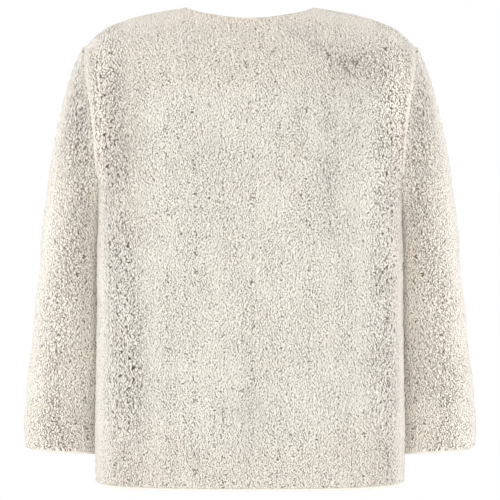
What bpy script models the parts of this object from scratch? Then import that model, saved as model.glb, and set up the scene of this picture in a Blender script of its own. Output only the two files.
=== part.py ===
"""Zip-up pile fleece jacket in its worn, hollow form: two fronts, back, sleeves, bindings and zip.

Metres, +Z up. The wearer faces -Y and the wearer's left is +X. The origin is the middle of the
neck, level with the two points where the shoulder seams meet the neck. Heights in this file are
counted up from the hem and brought to that origin at the end.
"""

import math

import bmesh
import bpy
from mathutils import Matrix, Vector

# Driving sizes.
LENGTH = 0.690            # hem to the neck points
WALL = 0.005              # pile fleece, backing and pile together
SEAM_PULL = 0.00018       # each panel's edge stands back this far from the seam line
TAPE_GAP = 0.0003         # zip tape to the back of the fleece

# Body below the arms.
BASE = 0.330              # the body is plain rings up to this height
BACK_POWER = 2.9          # squareness of the back half of a ring
FRONT_POWER = 2.4         # squareness of the front half
HEM_SIDE_LIFT = 0.003     # the hem rises this much towards the side seams
PANEL_FOOT = 0.0050       # the fleece ends this far above the hem, and the binding takes over
BODY_RINGS = (
    # height, half width, back depth, front depth
    (0.000, 0.2192, 0.1180, 0.1330),
    (0.060, 0.2198, 0.1200, 0.1350),
    (0.130, 0.2192, 0.1220, 0.1380),
    (0.200, 0.2180, 0.1235, 0.1405),
    (0.270, 0.2173, 0.1245, 0.1420),
    (0.330, 0.2172, 0.1250, 0.1430),
)

# Neck, shoulder and armhole.
NECK_HALF_WIDTH = 0.0915
NECK_BACK_DEPTH = 0.056
NECK_FRONT_DEPTH = 0.088
CROWN_RISE = 0.009        # the form under the neck hole rises this much above the neck points
SHOULDER_LINE = (
    # distance from the middle, height
    (0.0915, 0.6900),
    (0.1300, 0.6840),
    (0.1640, 0.6768),
    (0.1980, 0.6652),
    (0.2200, 0.6525),
    (0.2390, 0.6320),
)
ARMHOLE_TOP = 0.632
ARMHOLE_FOOT = 0.420
ARMHOLE_HALF_DEPTH = 0.080
ARMHOLE_ROUNDNESS = 0.92  # 1 is an ellipse, less is squarer
ARMHOLE_LINE = (
    # height, distance from the middle
    (0.420, 0.2186),
    (0.455, 0.2202),
    (0.500, 0.2225),
    (0.552, 0.2290),
    (0.594, 0.2362),
    (0.632, 0.2390),
)

# How each half panel's columns leave the last ring and arrive at its upper edge. Stations run
# from the middle (0) through the neck point and the armhole's top to the underarm (1).
NECK_COLUMNS = 5
SHOULDER_COLUMNS = 4
ARMHOLE_COLUMNS = 9
PANEL_COLUMNS = NECK_COLUMNS + SHOULDER_COLUMNS + ARMHOLE_COLUMNS
NECK_STATION = NECK_COLUMNS / PANEL_COLUMNS
ARMHOLE_STATION = (NECK_COLUMNS + SHOULDER_COLUMNS) / PANEL_COLUMNS
COLUMN_COURSE = (
    # station, upward start, arrival sideways, arrival forwards, arrival upwards
    (0.000, 0.600, 0.000, 0.360, 0.100),
    (0.278, 0.600, 0.000, 0.360, 0.070),
    (0.400, 0.590, 0.030, 0.330, 0.030),
    (0.500, 0.530, 0.110, 0.240, -0.040),
    (0.560, 0.460, 0.140, 0.150, -0.010),
    (0.640, 0.360, 0.130, 0.060, 0.060),
    (0.750, 0.230, 0.080, 0.000, 0.120),
    (0.880, 0.130, 0.035, 0.000, 0.100),
    (1.000, 0.100, 0.014, 0.000, 0.055),
)
LOWER_ROWS = 6
UPPER_ROWS = 9

# Soft upright folds in the fleece: place across the body, half width, depth, fading height.
BACK_FOLDS = (
    # middle, spread, rise, height of the middle, spread in height
    (0.158, 0.022, -0.0030, 0.300, 0.260),
    (0.098, 0.026, 0.0022, 0.330, 0.240),
    (-0.010, 0.028, -0.0022, 0.100, 0.150),
    (-0.120, 0.026, 0.0016, 0.260, 0.220),
    (-0.162, 0.022, -0.0030, 0.300, 0.260),
)
FRONT_FOLDS = (
    (0.150, 0.024, -0.0028, 0.260, 0.240),
    (0.095, 0.026, 0.0018, 0.200, 0.220),
    (-0.105, 0.028, 0.0016, 0.240, 0.240),
    (-0.155, 0.024, -0.0028, 0.280, 0.260),
)

# Sleeves, hanging a little forward of the body's widest line.
SLEEVE_POWER = 2.2
SLEEVE_RINGS = (
    # height, outer side, inner side, middle front to back, half depth
    (0.0475, 0.3262, 0.2195, -0.0530, 0.0415),
    (0.0800, 0.3292, 0.2165, -0.0520, 0.0470),
    (0.1300, 0.3243, 0.2158, -0.0500, 0.0525),
    (0.2000, 0.3165, 0.2155, -0.0470, 0.0600),
    (0.2700, 0.3092, 0.2155, -0.0430, 0.0670),
    (0.3300, 0.3020, 0.2158, -0.0400, 0.0720),
)
SLEEVE_COURSE = (
    # station round the armhole, start sideways, start forwards, start upwards, end downwards
    (0.000, 0.080, 0.010, -0.160, 0.260),
    (0.250, 0.090, 0.020, -0.120, 0.240),
    (0.500, 0.055, 0.040, -0.080, 0.180),
    (0.750, 0.014, 0.045, -0.080, 0.120),
    (1.000, 0.002, 0.040, -0.060, 0.090),
)
SLEEVE_FOLDS = (
    # height, spread, rise
    (0.418, 0.030, -0.0025),
    (0.356, 0.026, 0.0025),
    (0.299, 0.024, -0.0025),
    (0.253, 0.022, 0.0025),
    (0.207, 0.020, -0.0020),
    (0.152, 0.026, 0.0025),
    (0.092, 0.022, -0.0020),
)
FOLD_SIDE_SHARE = 0.4     # how much of a fold's rise the sleeve's outer side shows
CUFF_LIFT = 0.0025        # the cuff's outer side is this much higher, its inner side lower
SLEEVE_UPPER_ROWS = 7
SLEEVE_LOWER_ROWS = 11

# Bindings: a folded strip that carries on each free edge of the fleece.
BINDING_DEPTH = 0.0047
BINDING_SKIN = 0.20       # share of the wall left bare outside and inside the strip
BINDING_SHOULDER = 0.70   # share of its depth at which the strip's edge starts to round
BINDING_CROWN = 0.12      # half of the strip's flat free edge, as a share of the wall

# Zip.
ZIP_HALF_GAP = 0.006      # each front's edge to the middle line
TAPE_HALF_GAP = 0.00020   # below the slider
TAPE_TOP_HALF_GAP = 0.0030
TAPE_THROAT_HALF_GAP = 0.0018
THROAT_DROP = 0.0004      # below the slider's post
THROAT_END_DROP = 0.0012
NEXT_STATION_DROP = 0.0020
TAPE_REACH = 0.015        # tape's outer edge to the middle line
TAPE_THICKNESS = 0.0010
BOX_SIZE = (0.0090, 0.0044, 0.0080)
SLIDER_DROP = 0.0130      # slider's middle below the top of the tape
SLIDER_HALF_LENGTH = 0.0055
SLIDER_HALF_WIDTH = 0.0046
CHAIN_HALF_SPACE = 0.0019
PLATE = 0.0010
FLANGE_REACH = 0.0010
FLANGE_WIDTH = 0.0009
POST_HALF_WIDTH = 0.0012
POST_FOOT = 0.0018        # above the slider's middle
BRIDGE_HALF_WIDTH = 0.0011
BRIDGE_CLEAR_HALF = 0.0019
BRIDGE_CLEAR_HEIGHT = 0.0021
BRIDGE_STOCK = 0.0011
PULL_HALF_THICKNESS = 0.00065
PULL_LENGTH = 0.0300
PULL_HALF_WIDTH = 0.0034
PULL_HOLE_END = 0.0041
PULL_HOLE_HALF_WIDTH = 0.0017
PULL_HEAD_SHARE = 0.76    # the pull's head is this much of its full width
PULL_TAPER_SHARE = 0.30   # and is at full width this far down its length
PULL_END_STEPS = 6

# Fineness of the reckoning.
FINE_STEPS = 400          # points walked along a quarter ring
ANGLE_STEPS = 360         # evenly spaced angles kept from them
SHOULDER_STEPS = 60
HALVINGS = 30
KEYS_PER_METRE = 20000    # seam points that round to the same key are one point
MITRE_LIMIT = 0.62        # a corner's wall is never thinned beyond this cosine
SHARP_ANGLE = 40          # degrees between faces that still shade as one

MATERIALS = {
    # colour, roughness, metallic
    "pile_fleece": ((0.71, 0.66, 0.58), 0.95, 0.0),
    "binding": ((0.78, 0.73, 0.66), 0.85, 0.0),
    "zip_tape": ((0.72, 0.68, 0.61), 0.80, 0.0),
    "zip_teeth": ((0.78, 0.74, 0.66), 0.40, 0.0),
    "zip_metal": ((0.62, 0.60, 0.56), 0.32, 1.0),
}


def table_value(rows, place, column):
    """Smooth value of one column of a table whose first column rises steadily."""
    keys = [row[0] for row in rows]
    values = [row[column] for row in rows]
    place = min(max(place, keys[0]), keys[-1])
    span = 0
    while span < len(keys) - 2 and place > keys[span + 1]:
        span += 1
    slopes = []
    for index in (span, span + 1):
        before = max(index - 1, 0)
        after = min(index + 1, len(keys) - 1)
        slopes.append((values[after] - values[before]) / (keys[after] - keys[before]))
    width = keys[span + 1] - keys[span]
    return hermite(values[span], slopes[0] * width, values[span + 1], slopes[1] * width,
                   (place - keys[span]) / width)


def hermite(start, leave, end, arrive, share):
    """Cubic from start to end with the given leaving and arriving slopes."""
    squared = share * share
    cubed = squared * share
    return (start * (2 * cubed - 3 * squared + 1) + leave * (cubed - 2 * squared + share)
            + end * (3 * squared - 2 * cubed) + arrive * (cubed - squared))


def even_walk(points, count):
    """Shares of the way along a line at which count + 1 evenly spaced points lie."""
    lengths = [0.0]
    for first, second in zip(points, points[1:]):
        lengths.append(lengths[-1] + math.dist(first, second))
    shares = []
    span = 0
    for step in range(count + 1):
        target = lengths[-1] * step / count
        while span < len(points) - 2 and lengths[span + 1] < target:
            span += 1
        part = (target - lengths[span]) / (lengths[span + 1] - lengths[span])
        shares.append((span + part) / (len(points) - 1))
    return shares


def rounded_quarter(angle, half_width, depth, power):
    """Quarter of a squared ellipse: angle 0 is its middle, a right angle its side."""
    across = half_width * max(math.sin(angle), 0.0) ** (2 / power)
    out = depth * max(math.cos(angle), 0.0) ** (2 / power)
    return across, out


def column_angles(power, depth_column):
    """Angles that space the columns evenly round half of the base ring."""
    half_width = table_value(BODY_RINGS, BASE, 1)
    depth = table_value(BODY_RINGS, BASE, depth_column)
    fine = [rounded_quarter(math.pi / 2 * step / FINE_STEPS, half_width, depth, power)
            for step in range(FINE_STEPS + 1)]
    return [share * math.pi / 2 for share in even_walk(fine, ANGLE_STEPS)]


BACK_ANGLES = column_angles(BACK_POWER, 2)
FRONT_ANGLES = column_angles(FRONT_POWER, 3)


def column_angle(side, station):
    """Angle of a column, between the finely spaced ones."""
    angles = BACK_ANGLES if side > 0 else FRONT_ANGLES
    place = station * (len(angles) - 1)
    below = min(int(place), len(angles) - 2)
    return angles[below] + (angles[below + 1] - angles[below]) * (place - below)


def ring_point(side, station, height):
    """Point of a body ring; side is 1 behind and -1 in front, for the +X half."""
    half_width = table_value(BODY_RINGS, height, 1)
    depth = table_value(BODY_RINGS, height, 2 if side > 0 else 3)
    power = BACK_POWER if side > 0 else FRONT_POWER
    across, out = rounded_quarter(column_angle(side, station), half_width, depth, power)
    return Vector((across, side * out, height))


def neck_depth(side, across):
    """How far behind or in front of the neck points the neckline lies."""
    depth = NECK_BACK_DEPTH if side > 0 else NECK_FRONT_DEPTH
    return depth * math.sqrt(max(1 - (across / NECK_HALF_WIDTH) ** 2, 0.0))


def crown_point(turn):
    """Ridge of the shoulders carried on over the neck hole, from the middle to the neck point."""
    angle = turn * math.pi / 2
    return Vector((NECK_HALF_WIDTH * math.sin(angle), 0.0, LENGTH + CROWN_RISE * math.cos(angle) ** 2))


def armhole_point(side, turn):
    """Armhole from its top (turn 0) to the underarm (turn 1), for the +X side."""
    angle = turn * math.pi
    middle = (ARMHOLE_TOP + ARMHOLE_FOOT) / 2
    half_height = (ARMHOLE_TOP - ARMHOLE_FOOT) / 2
    height = middle + half_height * math.cos(angle)
    out = ARMHOLE_HALF_DEPTH * max(math.sin(angle), 0.0) ** ARMHOLE_ROUNDNESS
    return Vector((table_value(ARMHOLE_LINE, height, 1), side * out, height))


SHOULDER_WALK = even_walk([(row[0], row[1]) for row in SHOULDER_LINE], SHOULDER_STEPS)


def shoulder_point(turn):
    """Shoulder seam from the neck point (turn 0) to the armhole (turn 1)."""
    place = turn * SHOULDER_STEPS
    below = min(int(place), SHOULDER_STEPS - 1)
    share = SHOULDER_WALK[below] + (SHOULDER_WALK[below + 1] - SHOULDER_WALK[below]) * (place - below)
    span = share * (len(SHOULDER_LINE) - 1)
    row = min(int(span), len(SHOULDER_LINE) - 2)
    across = SHOULDER_LINE[row][0] + (SHOULDER_LINE[row + 1][0] - SHOULDER_LINE[row][0]) * (span - row)
    return Vector((across, 0.0, table_value(SHOULDER_LINE, across, 1)))


def upper_edge(side, station):
    """Crown, shoulder seam and armhole, in one line from the middle to the underarm."""
    if station < NECK_STATION:
        return crown_point(station / NECK_STATION)
    if station < ARMHOLE_STATION:
        return shoulder_point((station - NECK_STATION) / (ARMHOLE_STATION - NECK_STATION))
    return armhole_point(side, (station - ARMHOLE_STATION) / (1 - ARMHOLE_STATION))


def fold_rise(folds, across, height):
    """How far the upright folds stand proud of the plain form."""
    return sum(rise * math.exp(-((across - middle) / spread) ** 2 - ((height - level) / reach) ** 2)
               for middle, spread, rise, level, reach in folds)


def upper_point(side, station, share):
    """Point above the last ring, on the way to the panel's upper edge."""
    leave = Vector((0.0, 0.0, table_value(COLUMN_COURSE, station, 1)))
    arrive = Vector((table_value(COLUMN_COURSE, station, 2),
                     -side * table_value(COLUMN_COURSE, station, 3),
                     table_value(COLUMN_COURSE, station, 4)))
    return hermite(ring_point(side, station, BASE), leave, upper_edge(side, station), arrive, share)


def neck_share(side, station):
    """Share of the way up at which a column meets the neckline, found by halving."""
    if station >= NECK_STATION:
        return 1.0
    low, high = 0.4, 1.0
    for _ in range(HALVINGS):
        share = (low + high) / 2
        point = upper_point(side, station, share)
        if abs(point.y) > neck_depth(side, point.x):
            low = share
        else:
            high = share
    return low


def body_point(side, mirror, station, row):
    """Point of the body's outer face; mirror is 1 on the wearer's left and -1 on the right."""
    climb = max(row - LOWER_ROWS, 0) / UPPER_ROWS
    if climb > 0:
        point = upper_point(side, station, climb * neck_share(side, station))
    else:
        foot = PANEL_FOOT + HEM_SIDE_LIFT * station ** 3
        point = ring_point(side, station, foot + (BASE - foot) * row / LOWER_ROWS)
    folds = BACK_FOLDS if side > 0 else FRONT_FOLDS
    point.x *= mirror
    fading = (1 - station ** 6) * (1 - climb ** 2)
    point.y += side * fold_rise(folds, point.x, point.z) * fading
    return point


def sleeve_ring(station, height):
    """Point of a sleeve ring; station 0 is its outer side, 0.25 behind, 0.5 inner, 0.75 in front."""
    outer = table_value(SLEEVE_RINGS, height, 1)
    inner = table_value(SLEEVE_RINGS, height, 2)
    middle = table_value(SLEEVE_RINGS, height, 3)
    half_depth = table_value(SLEEVE_RINGS, height, 4)
    angle = station * 2 * math.pi
    across = math.copysign(abs(math.cos(angle)) ** (2 / SLEEVE_POWER), math.cos(angle))
    out = math.copysign(abs(math.sin(angle)) ** (2 / SLEEVE_POWER), math.sin(angle))
    return Vector(((outer + inner) / 2 + (outer - inner) / 2 * across, middle + half_depth * out, height))


def sleeve_point(mirror, station, row):
    """Point of a sleeve's outer face."""
    behind = station <= 0.5
    turn = station * 2 if behind else 2 - station * 2
    side = 1 if behind else -1
    if row <= SLEEVE_UPPER_ROWS:
        share = row / SLEEVE_UPPER_ROWS
        leave = Vector((table_value(SLEEVE_COURSE, turn, 1),
                        -table_value(SLEEVE_COURSE, turn, 2),
                        table_value(SLEEVE_COURSE, turn, 3)))
        arrive = Vector((0.0, 0.0, -table_value(SLEEVE_COURSE, turn, 4)))
        point = hermite(armhole_point(side, turn), leave, sleeve_ring(station, BASE), arrive, share)
    else:
        share = (row - SLEEVE_UPPER_ROWS) / SLEEVE_LOWER_ROWS
        foot = SLEEVE_RINGS[0][0]
        point = sleeve_ring(station, BASE + (foot - BASE) * share)
        point.z += CUFF_LIFT * math.cos(station * 2 * math.pi) * share ** 4
    rise = sum(height_rise * math.exp(-((point.z - level) / spread) ** 2)
               for level, spread, height_rise in SLEEVE_FOLDS)
    rise *= min(row / 2, 1.0)
    point.y += rise * math.sin(station * 2 * math.pi)
    point.x += FOLD_SIDE_SHARE * rise * max(math.cos(station * 2 * math.pi), 0.0)
    point.x *= mirror
    return point


def body_grid(side, mirrors):
    """Rows of a back or front; a whole back runs from the right side seam to the left one."""
    grid = []
    for row in range(LOWER_ROWS + UPPER_ROWS + 1):
        line = []
        for mirror in mirrors:
            half = [body_point(side, mirror, column / PANEL_COLUMNS, row)
                    for column in range(PANEL_COLUMNS + 1)]
            if side < 0:
                half[0].x = mirror * ZIP_HALF_GAP
            if mirror < 0 and side > 0:
                half.reverse()
            line += half if not line else half[1:]
        grid.append(line)
    return grid


def sleeve_grid(mirror):
    """Rows of a sleeve, closed round."""
    columns = 2 * ARMHOLE_COLUMNS
    return [[sleeve_point(mirror, column / columns, row) for column in range(columns)]
            for row in range(SLEEVE_UPPER_ROWS + SLEEVE_LOWER_ROWS + 1)]


def to_frame(point):
    """A point counted from the hem, brought to the frame's origin at the neck."""
    return Vector((point.x, point.y, point.z - LENGTH))


def place_key(point):
    """Key that is the same for every panel that meets at a seam point."""
    return tuple(round(value * KEYS_PER_METRE) for value in point)


def grid_faces(rows, columns, closed):
    """Quads of a grid, as vertex numbers counted row by row."""
    reach = columns if closed else columns - 1
    return [(row * columns + column,
             row * columns + (column + 1) % columns,
             (row + 1) * columns + (column + 1) % columns,
             (row + 1) * columns + column)
            for row in range(rows - 1) for column in range(reach)]


def face_normal(corners):
    """Unit normal of a quad from its diagonals."""
    return (corners[2] - corners[0]).cross(corners[3] - corners[1]).normalized()


def seam_normals(panels):
    """Outward normals at every point, shared by the panels that meet there, with mitre factors."""
    gathered = {}
    for grid, closed, outward in panels:
        columns = len(grid[0])
        flat = [point for line in grid for point in line]
        for face in grid_faces(len(grid), columns, closed):
            corners = [flat[number] for number in face]
            normal = face_normal(corners) * outward
            for corner in corners:
                gathered.setdefault(place_key(corner), []).append(normal)
    shared = {}
    for key, normals in gathered.items():
        mean = sum(normals, Vector((0.0, 0.0, 0.0))).normalized()
        lean = min(mean.dot(normal) for normal in normals)
        shared[key] = mean / max(lean, MITRE_LIMIT)
    return shared


def inner_grid(grid, normals):
    """The wall's inner face, one wall thickness behind the outer one."""
    return [[point - normals[place_key(point)] * WALL for point in line] for line in grid]


def edge_directions(edge, inside, normals, closed):
    """Unit directions that carry a surface on past its edge, square to the edge."""
    count = len(edge)
    directions = []
    for index in range(count):
        before = edge[index - 1] if index or closed else edge[0]
        after = edge[(index + 1) % count] if closed else edge[min(index + 1, count - 1)]
        direction = (after - before).cross(normals[place_key(edge[index])])
        directions.append(direction.normalized())
    onward = sum(direction.dot(point - behind)
                 for direction, point, behind in zip(directions, edge, inside))
    return directions if onward > 0 else [-direction for direction in directions]


def seam_shifts(grid, normals, closed):
    """How far each point of a panel's free edges stands back from the seam lines."""
    rows = len(grid)
    columns = len(grid[0])
    shifts = [[Vector((0.0, 0.0, 0.0)) for _ in range(columns)] for _ in range(rows)]
    for row, inside in ((0, 1), (rows - 1, rows - 2)):
        directions = edge_directions(grid[row], grid[inside], normals, closed)
        for column, direction in enumerate(directions):
            shifts[row][column] -= direction * SEAM_PULL
    if not closed:
        for column, inside in ((0, 1), (columns - 1, columns - 2)):
            directions = edge_directions([line[column] for line in grid],
                                         [line[inside] for line in grid], normals, False)
            for row, direction in enumerate(directions):
                shifts[row][column] -= direction * SEAM_PULL
    return shifts


def shifted(grid, shifts):
    """A face of the wall with its edges moved back."""
    return [[point + shift for point, shift in zip(*lines)] for lines in zip(grid, shifts)]


def rim_faces(points, first, after, second):
    """Two triangles of a wall's rim, split alike on both sides of a seam."""
    low = min((first, after), key=lambda number: (round(points[number].z, 4), round(points[number].y, 4)))
    if low == first:
        return [(first, after, after + second), (first, after + second, first + second)]
    return [(first, after, first + second), (after, after + second, first + second)]


def wall_mesh(outer, inner, closed):
    """Vertices and faces of a wall between two grids."""
    rows = len(outer)
    columns = len(outer[0])
    points = [point for grid in (outer, inner) for line in grid for point in line]
    second = rows * columns
    faces = []
    for face in grid_faces(rows, columns, closed):
        faces.append(face)
        faces.append(tuple(number + second for number in reversed(face)))
    rim = list(range(columns))
    if closed:
        loops = [rim, [(rows - 1) * columns + column for column in range(columns)]]
    else:
        rim += [row * columns + columns - 1 for row in range(1, rows)]
        rim += [(rows - 1) * columns + column for column in range(columns - 2, -1, -1)]
        rim += [row * columns for row in range(rows - 2, 0, -1)]
        loops = [rim]
    for loop in loops:
        for first, after in zip(loop, loop[1:] + loop[:1]):
            faces += rim_faces(points, first, after, second)
    return points, faces


def strip_mesh(sections):
    """Vertices and faces of a strip: sections in order, each a ring of the same number of points."""
    around = len(sections[0])
    points = [point for section in sections for point in section]
    faces = [tuple(range(around)), tuple(range(len(points) - around, len(points)))]
    for start in range(0, len(points) - around, around):
        for step in range(around):
            after = (step + 1) % around
            faces.append((start + step, start + after, start + around + after, start + around + step))
    return points, faces


def ring_mesh(sections):
    """Vertices and faces of a strip that closes on itself."""
    around = len(sections[0])
    points = [point for section in sections for point in section]
    faces = []
    for index in range(len(sections)):
        start = index * around
        end = (index + 1) % len(sections) * around
        for step in range(around):
            after = (step + 1) % around
            faces.append((start + step, start + after, end + after, end + step))
    return points, faces


def binding_sections(outer_edge, inner_edge, outward):
    """Sections of a binding that carries on from an edge, each with a rounded free side."""
    profile = (
        # share across the wall, share of the binding's depth
        (BINDING_SKIN, 0.0),
        (1 - BINDING_SKIN, 0.0),
        (1 - BINDING_SKIN, BINDING_SHOULDER),
        (0.5 + BINDING_CROWN, 1.0),
        (0.5 - BINDING_CROWN, 1.0),
        (BINDING_SKIN, BINDING_SHOULDER),
    )
    sections = []
    for outer, inner, direction in zip(outer_edge, inner_edge, outward):
        start = direction * TAPE_GAP
        sections.append([outer.lerp(inner, across) + start + direction * BINDING_DEPTH * along
                         for across, along in profile])
    return sections


def plain_material(name):
    """One Principled material from the table of finishes."""
    colour, roughness, metallic = MATERIALS[name]
    material = bpy.data.materials.new(name)
    material.use_nodes = True
    shader = material.node_tree.nodes["Principled BSDF"]
    shader.inputs["Base Color"].default_value = (*colour, 1.0)
    shader.inputs["Roughness"].default_value = roughness
    shader.inputs["Metallic"].default_value = metallic
    material.diffuse_color = (*colour, 1.0)
    return material


def add_object(name, data, finish, collection):
    """Put one named piece in the collection, with a material of its own."""
    piece = bpy.data.objects.new(name, data)
    material = plain_material(finish)
    material.name = name + "_" + finish
    data.materials.append(material)
    collection.objects.link(piece)
    return piece


def add_solid(name, points, faces, finish, collection):
    """A closed mesh object from points counted from the hem."""
    mesh = bpy.data.meshes.new(name)
    mesh.from_pydata([to_frame(point) for point in points], [], faces)
    build = bmesh.new()
    build.from_mesh(mesh)
    bmesh.ops.recalc_face_normals(build, faces=build.faces)
    build.to_mesh(mesh)
    build.free()
    mesh.shade_smooth()
    mesh.set_sharp_from_angle(angle=math.radians(SHARP_ANGLE))
    add_object(name, mesh, finish, collection)


def chain(parts):
    """Join lists end to end, leaving out the point that two neighbours share."""
    joined = list(parts[0])
    for part in parts[1:]:
        joined += part[1:]
    return joined


def add_bindings(outer, inner, normals, collection):
    """Neck, hem and cuff bindings, carried on from the edges of the panels."""
    chains = {
        "hem_binding": (0, 1),
        "neck_binding": (-1, -2),
    }
    for name, (edge_row, inside_row) in chains.items():
        parts = {"outer": [], "inner": [], "next": []}
        for panel, grids, row in (("outer", outer, edge_row), ("inner", inner, edge_row),
                                  ("next", outer, inside_row)):
            reach = PANEL_COLUMNS + 1 if name == "hem_binding" else NECK_COLUMNS + 1
            left = grids["front_left"][row][:reach]
            right = grids["front_right"][row][:reach]
            middle = PANEL_COLUMNS
            back = grids["back"][row][middle - reach + 1:middle + reach]
            parts[panel] = chain([left, back[::-1], right[::-1]])
        directions = edge_directions(parts["outer"], parts["next"], normals, False)
        points, faces = strip_mesh(binding_sections(parts["outer"], parts["inner"], directions))
        add_solid(name, points, faces, "binding", collection)
    for side in ("left", "right"):
        panel = "sleeve_" + side
        directions = edge_directions(outer[panel][-1], outer[panel][-2], normals, True)
        sections = binding_sections(outer[panel][-1], inner[panel][-1], directions)
        points, faces = ring_mesh(sections)
        add_solid("cuff_binding_" + side, points, faces, "binding", collection)


def line_lengths(points):
    """Distance of each point of a line from its first."""
    lengths = [0.0]
    for first, second in zip(points, points[1:]):
        lengths.append(lengths[-1] + (second - first).length)
    return lengths


def line_point(points, lengths, distance):
    """Point of a line at a distance from its first point."""
    span = 0
    while span < len(points) - 2 and distance > lengths[span + 1]:
        span += 1
    part = (distance - lengths[span]) / (lengths[span + 1] - lengths[span])
    return points[span].lerp(points[span + 1], part)


def add_tape(side, mirror, inner, outer, stations, collection):
    """One zip tape behind a front's edge, its inner edge opening out beside the slider's post."""
    panel = "front_" + side
    edge = [line[0] for line in inner[panel]][::-1]
    beside = [line[1] for line in inner[panel]][::-1]
    face = [line[0] for line in outer[panel]][::-1]
    lengths = line_lengths(edge)
    front = []
    back = []
    for distance, half_gap in stations:
        at_edge = line_point(edge, lengths, distance)
        at_side = line_point(beside, lengths, distance)
        at_face = line_point(face, lengths, distance)
        inward = at_edge - at_face
        inward.x = 0.0
        inward.normalize()
        reach = (TAPE_REACH - ZIP_HALF_GAP) / abs(at_side.x - at_edge.x)
        middle_edge = at_edge.copy()
        middle_edge.x = mirror * half_gap
        row = [middle_edge, at_edge, at_edge.lerp(at_side, reach)]
        front.append([point + inward * TAPE_GAP for point in row])
        back.append([point + inward * (TAPE_GAP + TAPE_THICKNESS) for point in row])
    points, faces = wall_mesh(front, back, False)
    add_solid("zip_tape_" + side, points, faces, "zip_tape", collection)


def zip_frame(inner, outer, distance):
    """Middle of the tapes at a distance down from their top, with the up and outward directions."""
    edge = [line[0] for line in inner["front_left"]][::-1]
    face = [line[0] for line in outer["front_left"]][::-1]
    lengths = line_lengths(edge)
    here = line_point(edge, lengths, distance)
    above = line_point(edge, lengths, distance - SLIDER_HALF_LENGTH)
    below = line_point(edge, lengths, distance + SLIDER_HALF_LENGTH)
    up = above - below
    up.x = 0.0
    up.normalize()
    outward = Vector((1.0, 0.0, 0.0)).cross(up)
    if outward.dot(line_point(face, lengths, distance) - here) < 0:
        outward.negate()
    middle = here - outward * (TAPE_GAP + TAPE_THICKNESS / 2)
    middle.x = 0.0
    return middle, up, outward


def frame_matrix(middle, up, outward):
    """Matrix that puts a piece made with X across, Y up and Z outward at a place on the zip."""
    across = up.cross(outward)
    matrix = Matrix((across, up, outward)).transposed().to_4x4()
    matrix.translation = to_frame(middle)
    return matrix


def add_block(name, low, high, collection):
    """A box between two corners, from Blender's cube."""
    mesh = bpy.data.meshes.new(name)
    build = bmesh.new()
    bmesh.ops.create_cube(build, size=1.0)
    for vertex in build.verts:
        vertex.co = Vector([low[axis] + (high[axis] - low[axis]) * (vertex.co[axis] + 0.5)
                            for axis in range(3)])
    build.to_mesh(mesh)
    build.free()
    block = bpy.data.objects.new(name, mesh)
    collection.objects.link(block)
    return block


def join_block(body, block):
    """Union one cutter block into a body with a Boolean modifier."""
    block.hide_render = True
    block.display_type = "WIRE"
    union = body.modifiers.new("join_" + block.name, "BOOLEAN")
    union.operation = "UNION"
    union.solver = "EXACT"
    union.object = block


def add_slider(place, collection, cutters):
    """Slider: two plates with turned-in flanges, a post between the tapes and a bridge in front."""
    plate_top = CHAIN_HALF_SPACE + PLATE
    bridge_top = plate_top + BRIDGE_CLEAR_HEIGHT + BRIDGE_STOCK
    bridge_end = BRIDGE_CLEAR_HALF + BRIDGE_STOCK
    overlap = PLATE / 2
    body = add_block("zip_slider", (-SLIDER_HALF_WIDTH, -SLIDER_HALF_LENGTH, CHAIN_HALF_SPACE),
                     (SLIDER_HALF_WIDTH, SLIDER_HALF_LENGTH, plate_top), collection)
    blocks = {
        "back_plate": ((-SLIDER_HALF_WIDTH, -SLIDER_HALF_LENGTH, -plate_top),
                       (SLIDER_HALF_WIDTH, SLIDER_HALF_LENGTH, -CHAIN_HALF_SPACE)),
        "post": ((-POST_HALF_WIDTH, POST_FOOT, -CHAIN_HALF_SPACE - overlap),
                 (POST_HALF_WIDTH, SLIDER_HALF_LENGTH - overlap, CHAIN_HALF_SPACE + overlap)),
        "bridge_bar": ((-BRIDGE_HALF_WIDTH, -bridge_end, bridge_top - BRIDGE_STOCK),
                       (BRIDGE_HALF_WIDTH, bridge_end, bridge_top)),
    }
    for end, sign in (("low", -1), ("high", 1)):
        foot, head = sorted((sign * BRIDGE_CLEAR_HALF, sign * bridge_end))
        blocks["bridge_leg_" + end] = ((-BRIDGE_HALF_WIDTH, foot, plate_top - overlap),
                                       (BRIDGE_HALF_WIDTH, head, bridge_top - overlap))
    for edge, side in (("left", 1), ("right", -1)):
        for layer, sign in (("front", 1), ("behind", -1)):
            near, far = sorted((side * (SLIDER_HALF_WIDTH - FLANGE_WIDTH), side * SLIDER_HALF_WIDTH))
            low, high = sorted((sign * (CHAIN_HALF_SPACE - FLANGE_REACH),
                                sign * (CHAIN_HALF_SPACE + overlap)))
            blocks["flange_" + edge + "_" + layer] = ((near, -SLIDER_HALF_LENGTH, low),
                                                      (far, SLIDER_HALF_LENGTH, high))
    for name, (low, high) in blocks.items():
        join_block(body, add_block(name, low, high, cutters))
    for piece in (body, *cutters.objects):
        piece.matrix_world = place
    body.data.materials.append(plain_material("zip_metal"))


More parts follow.
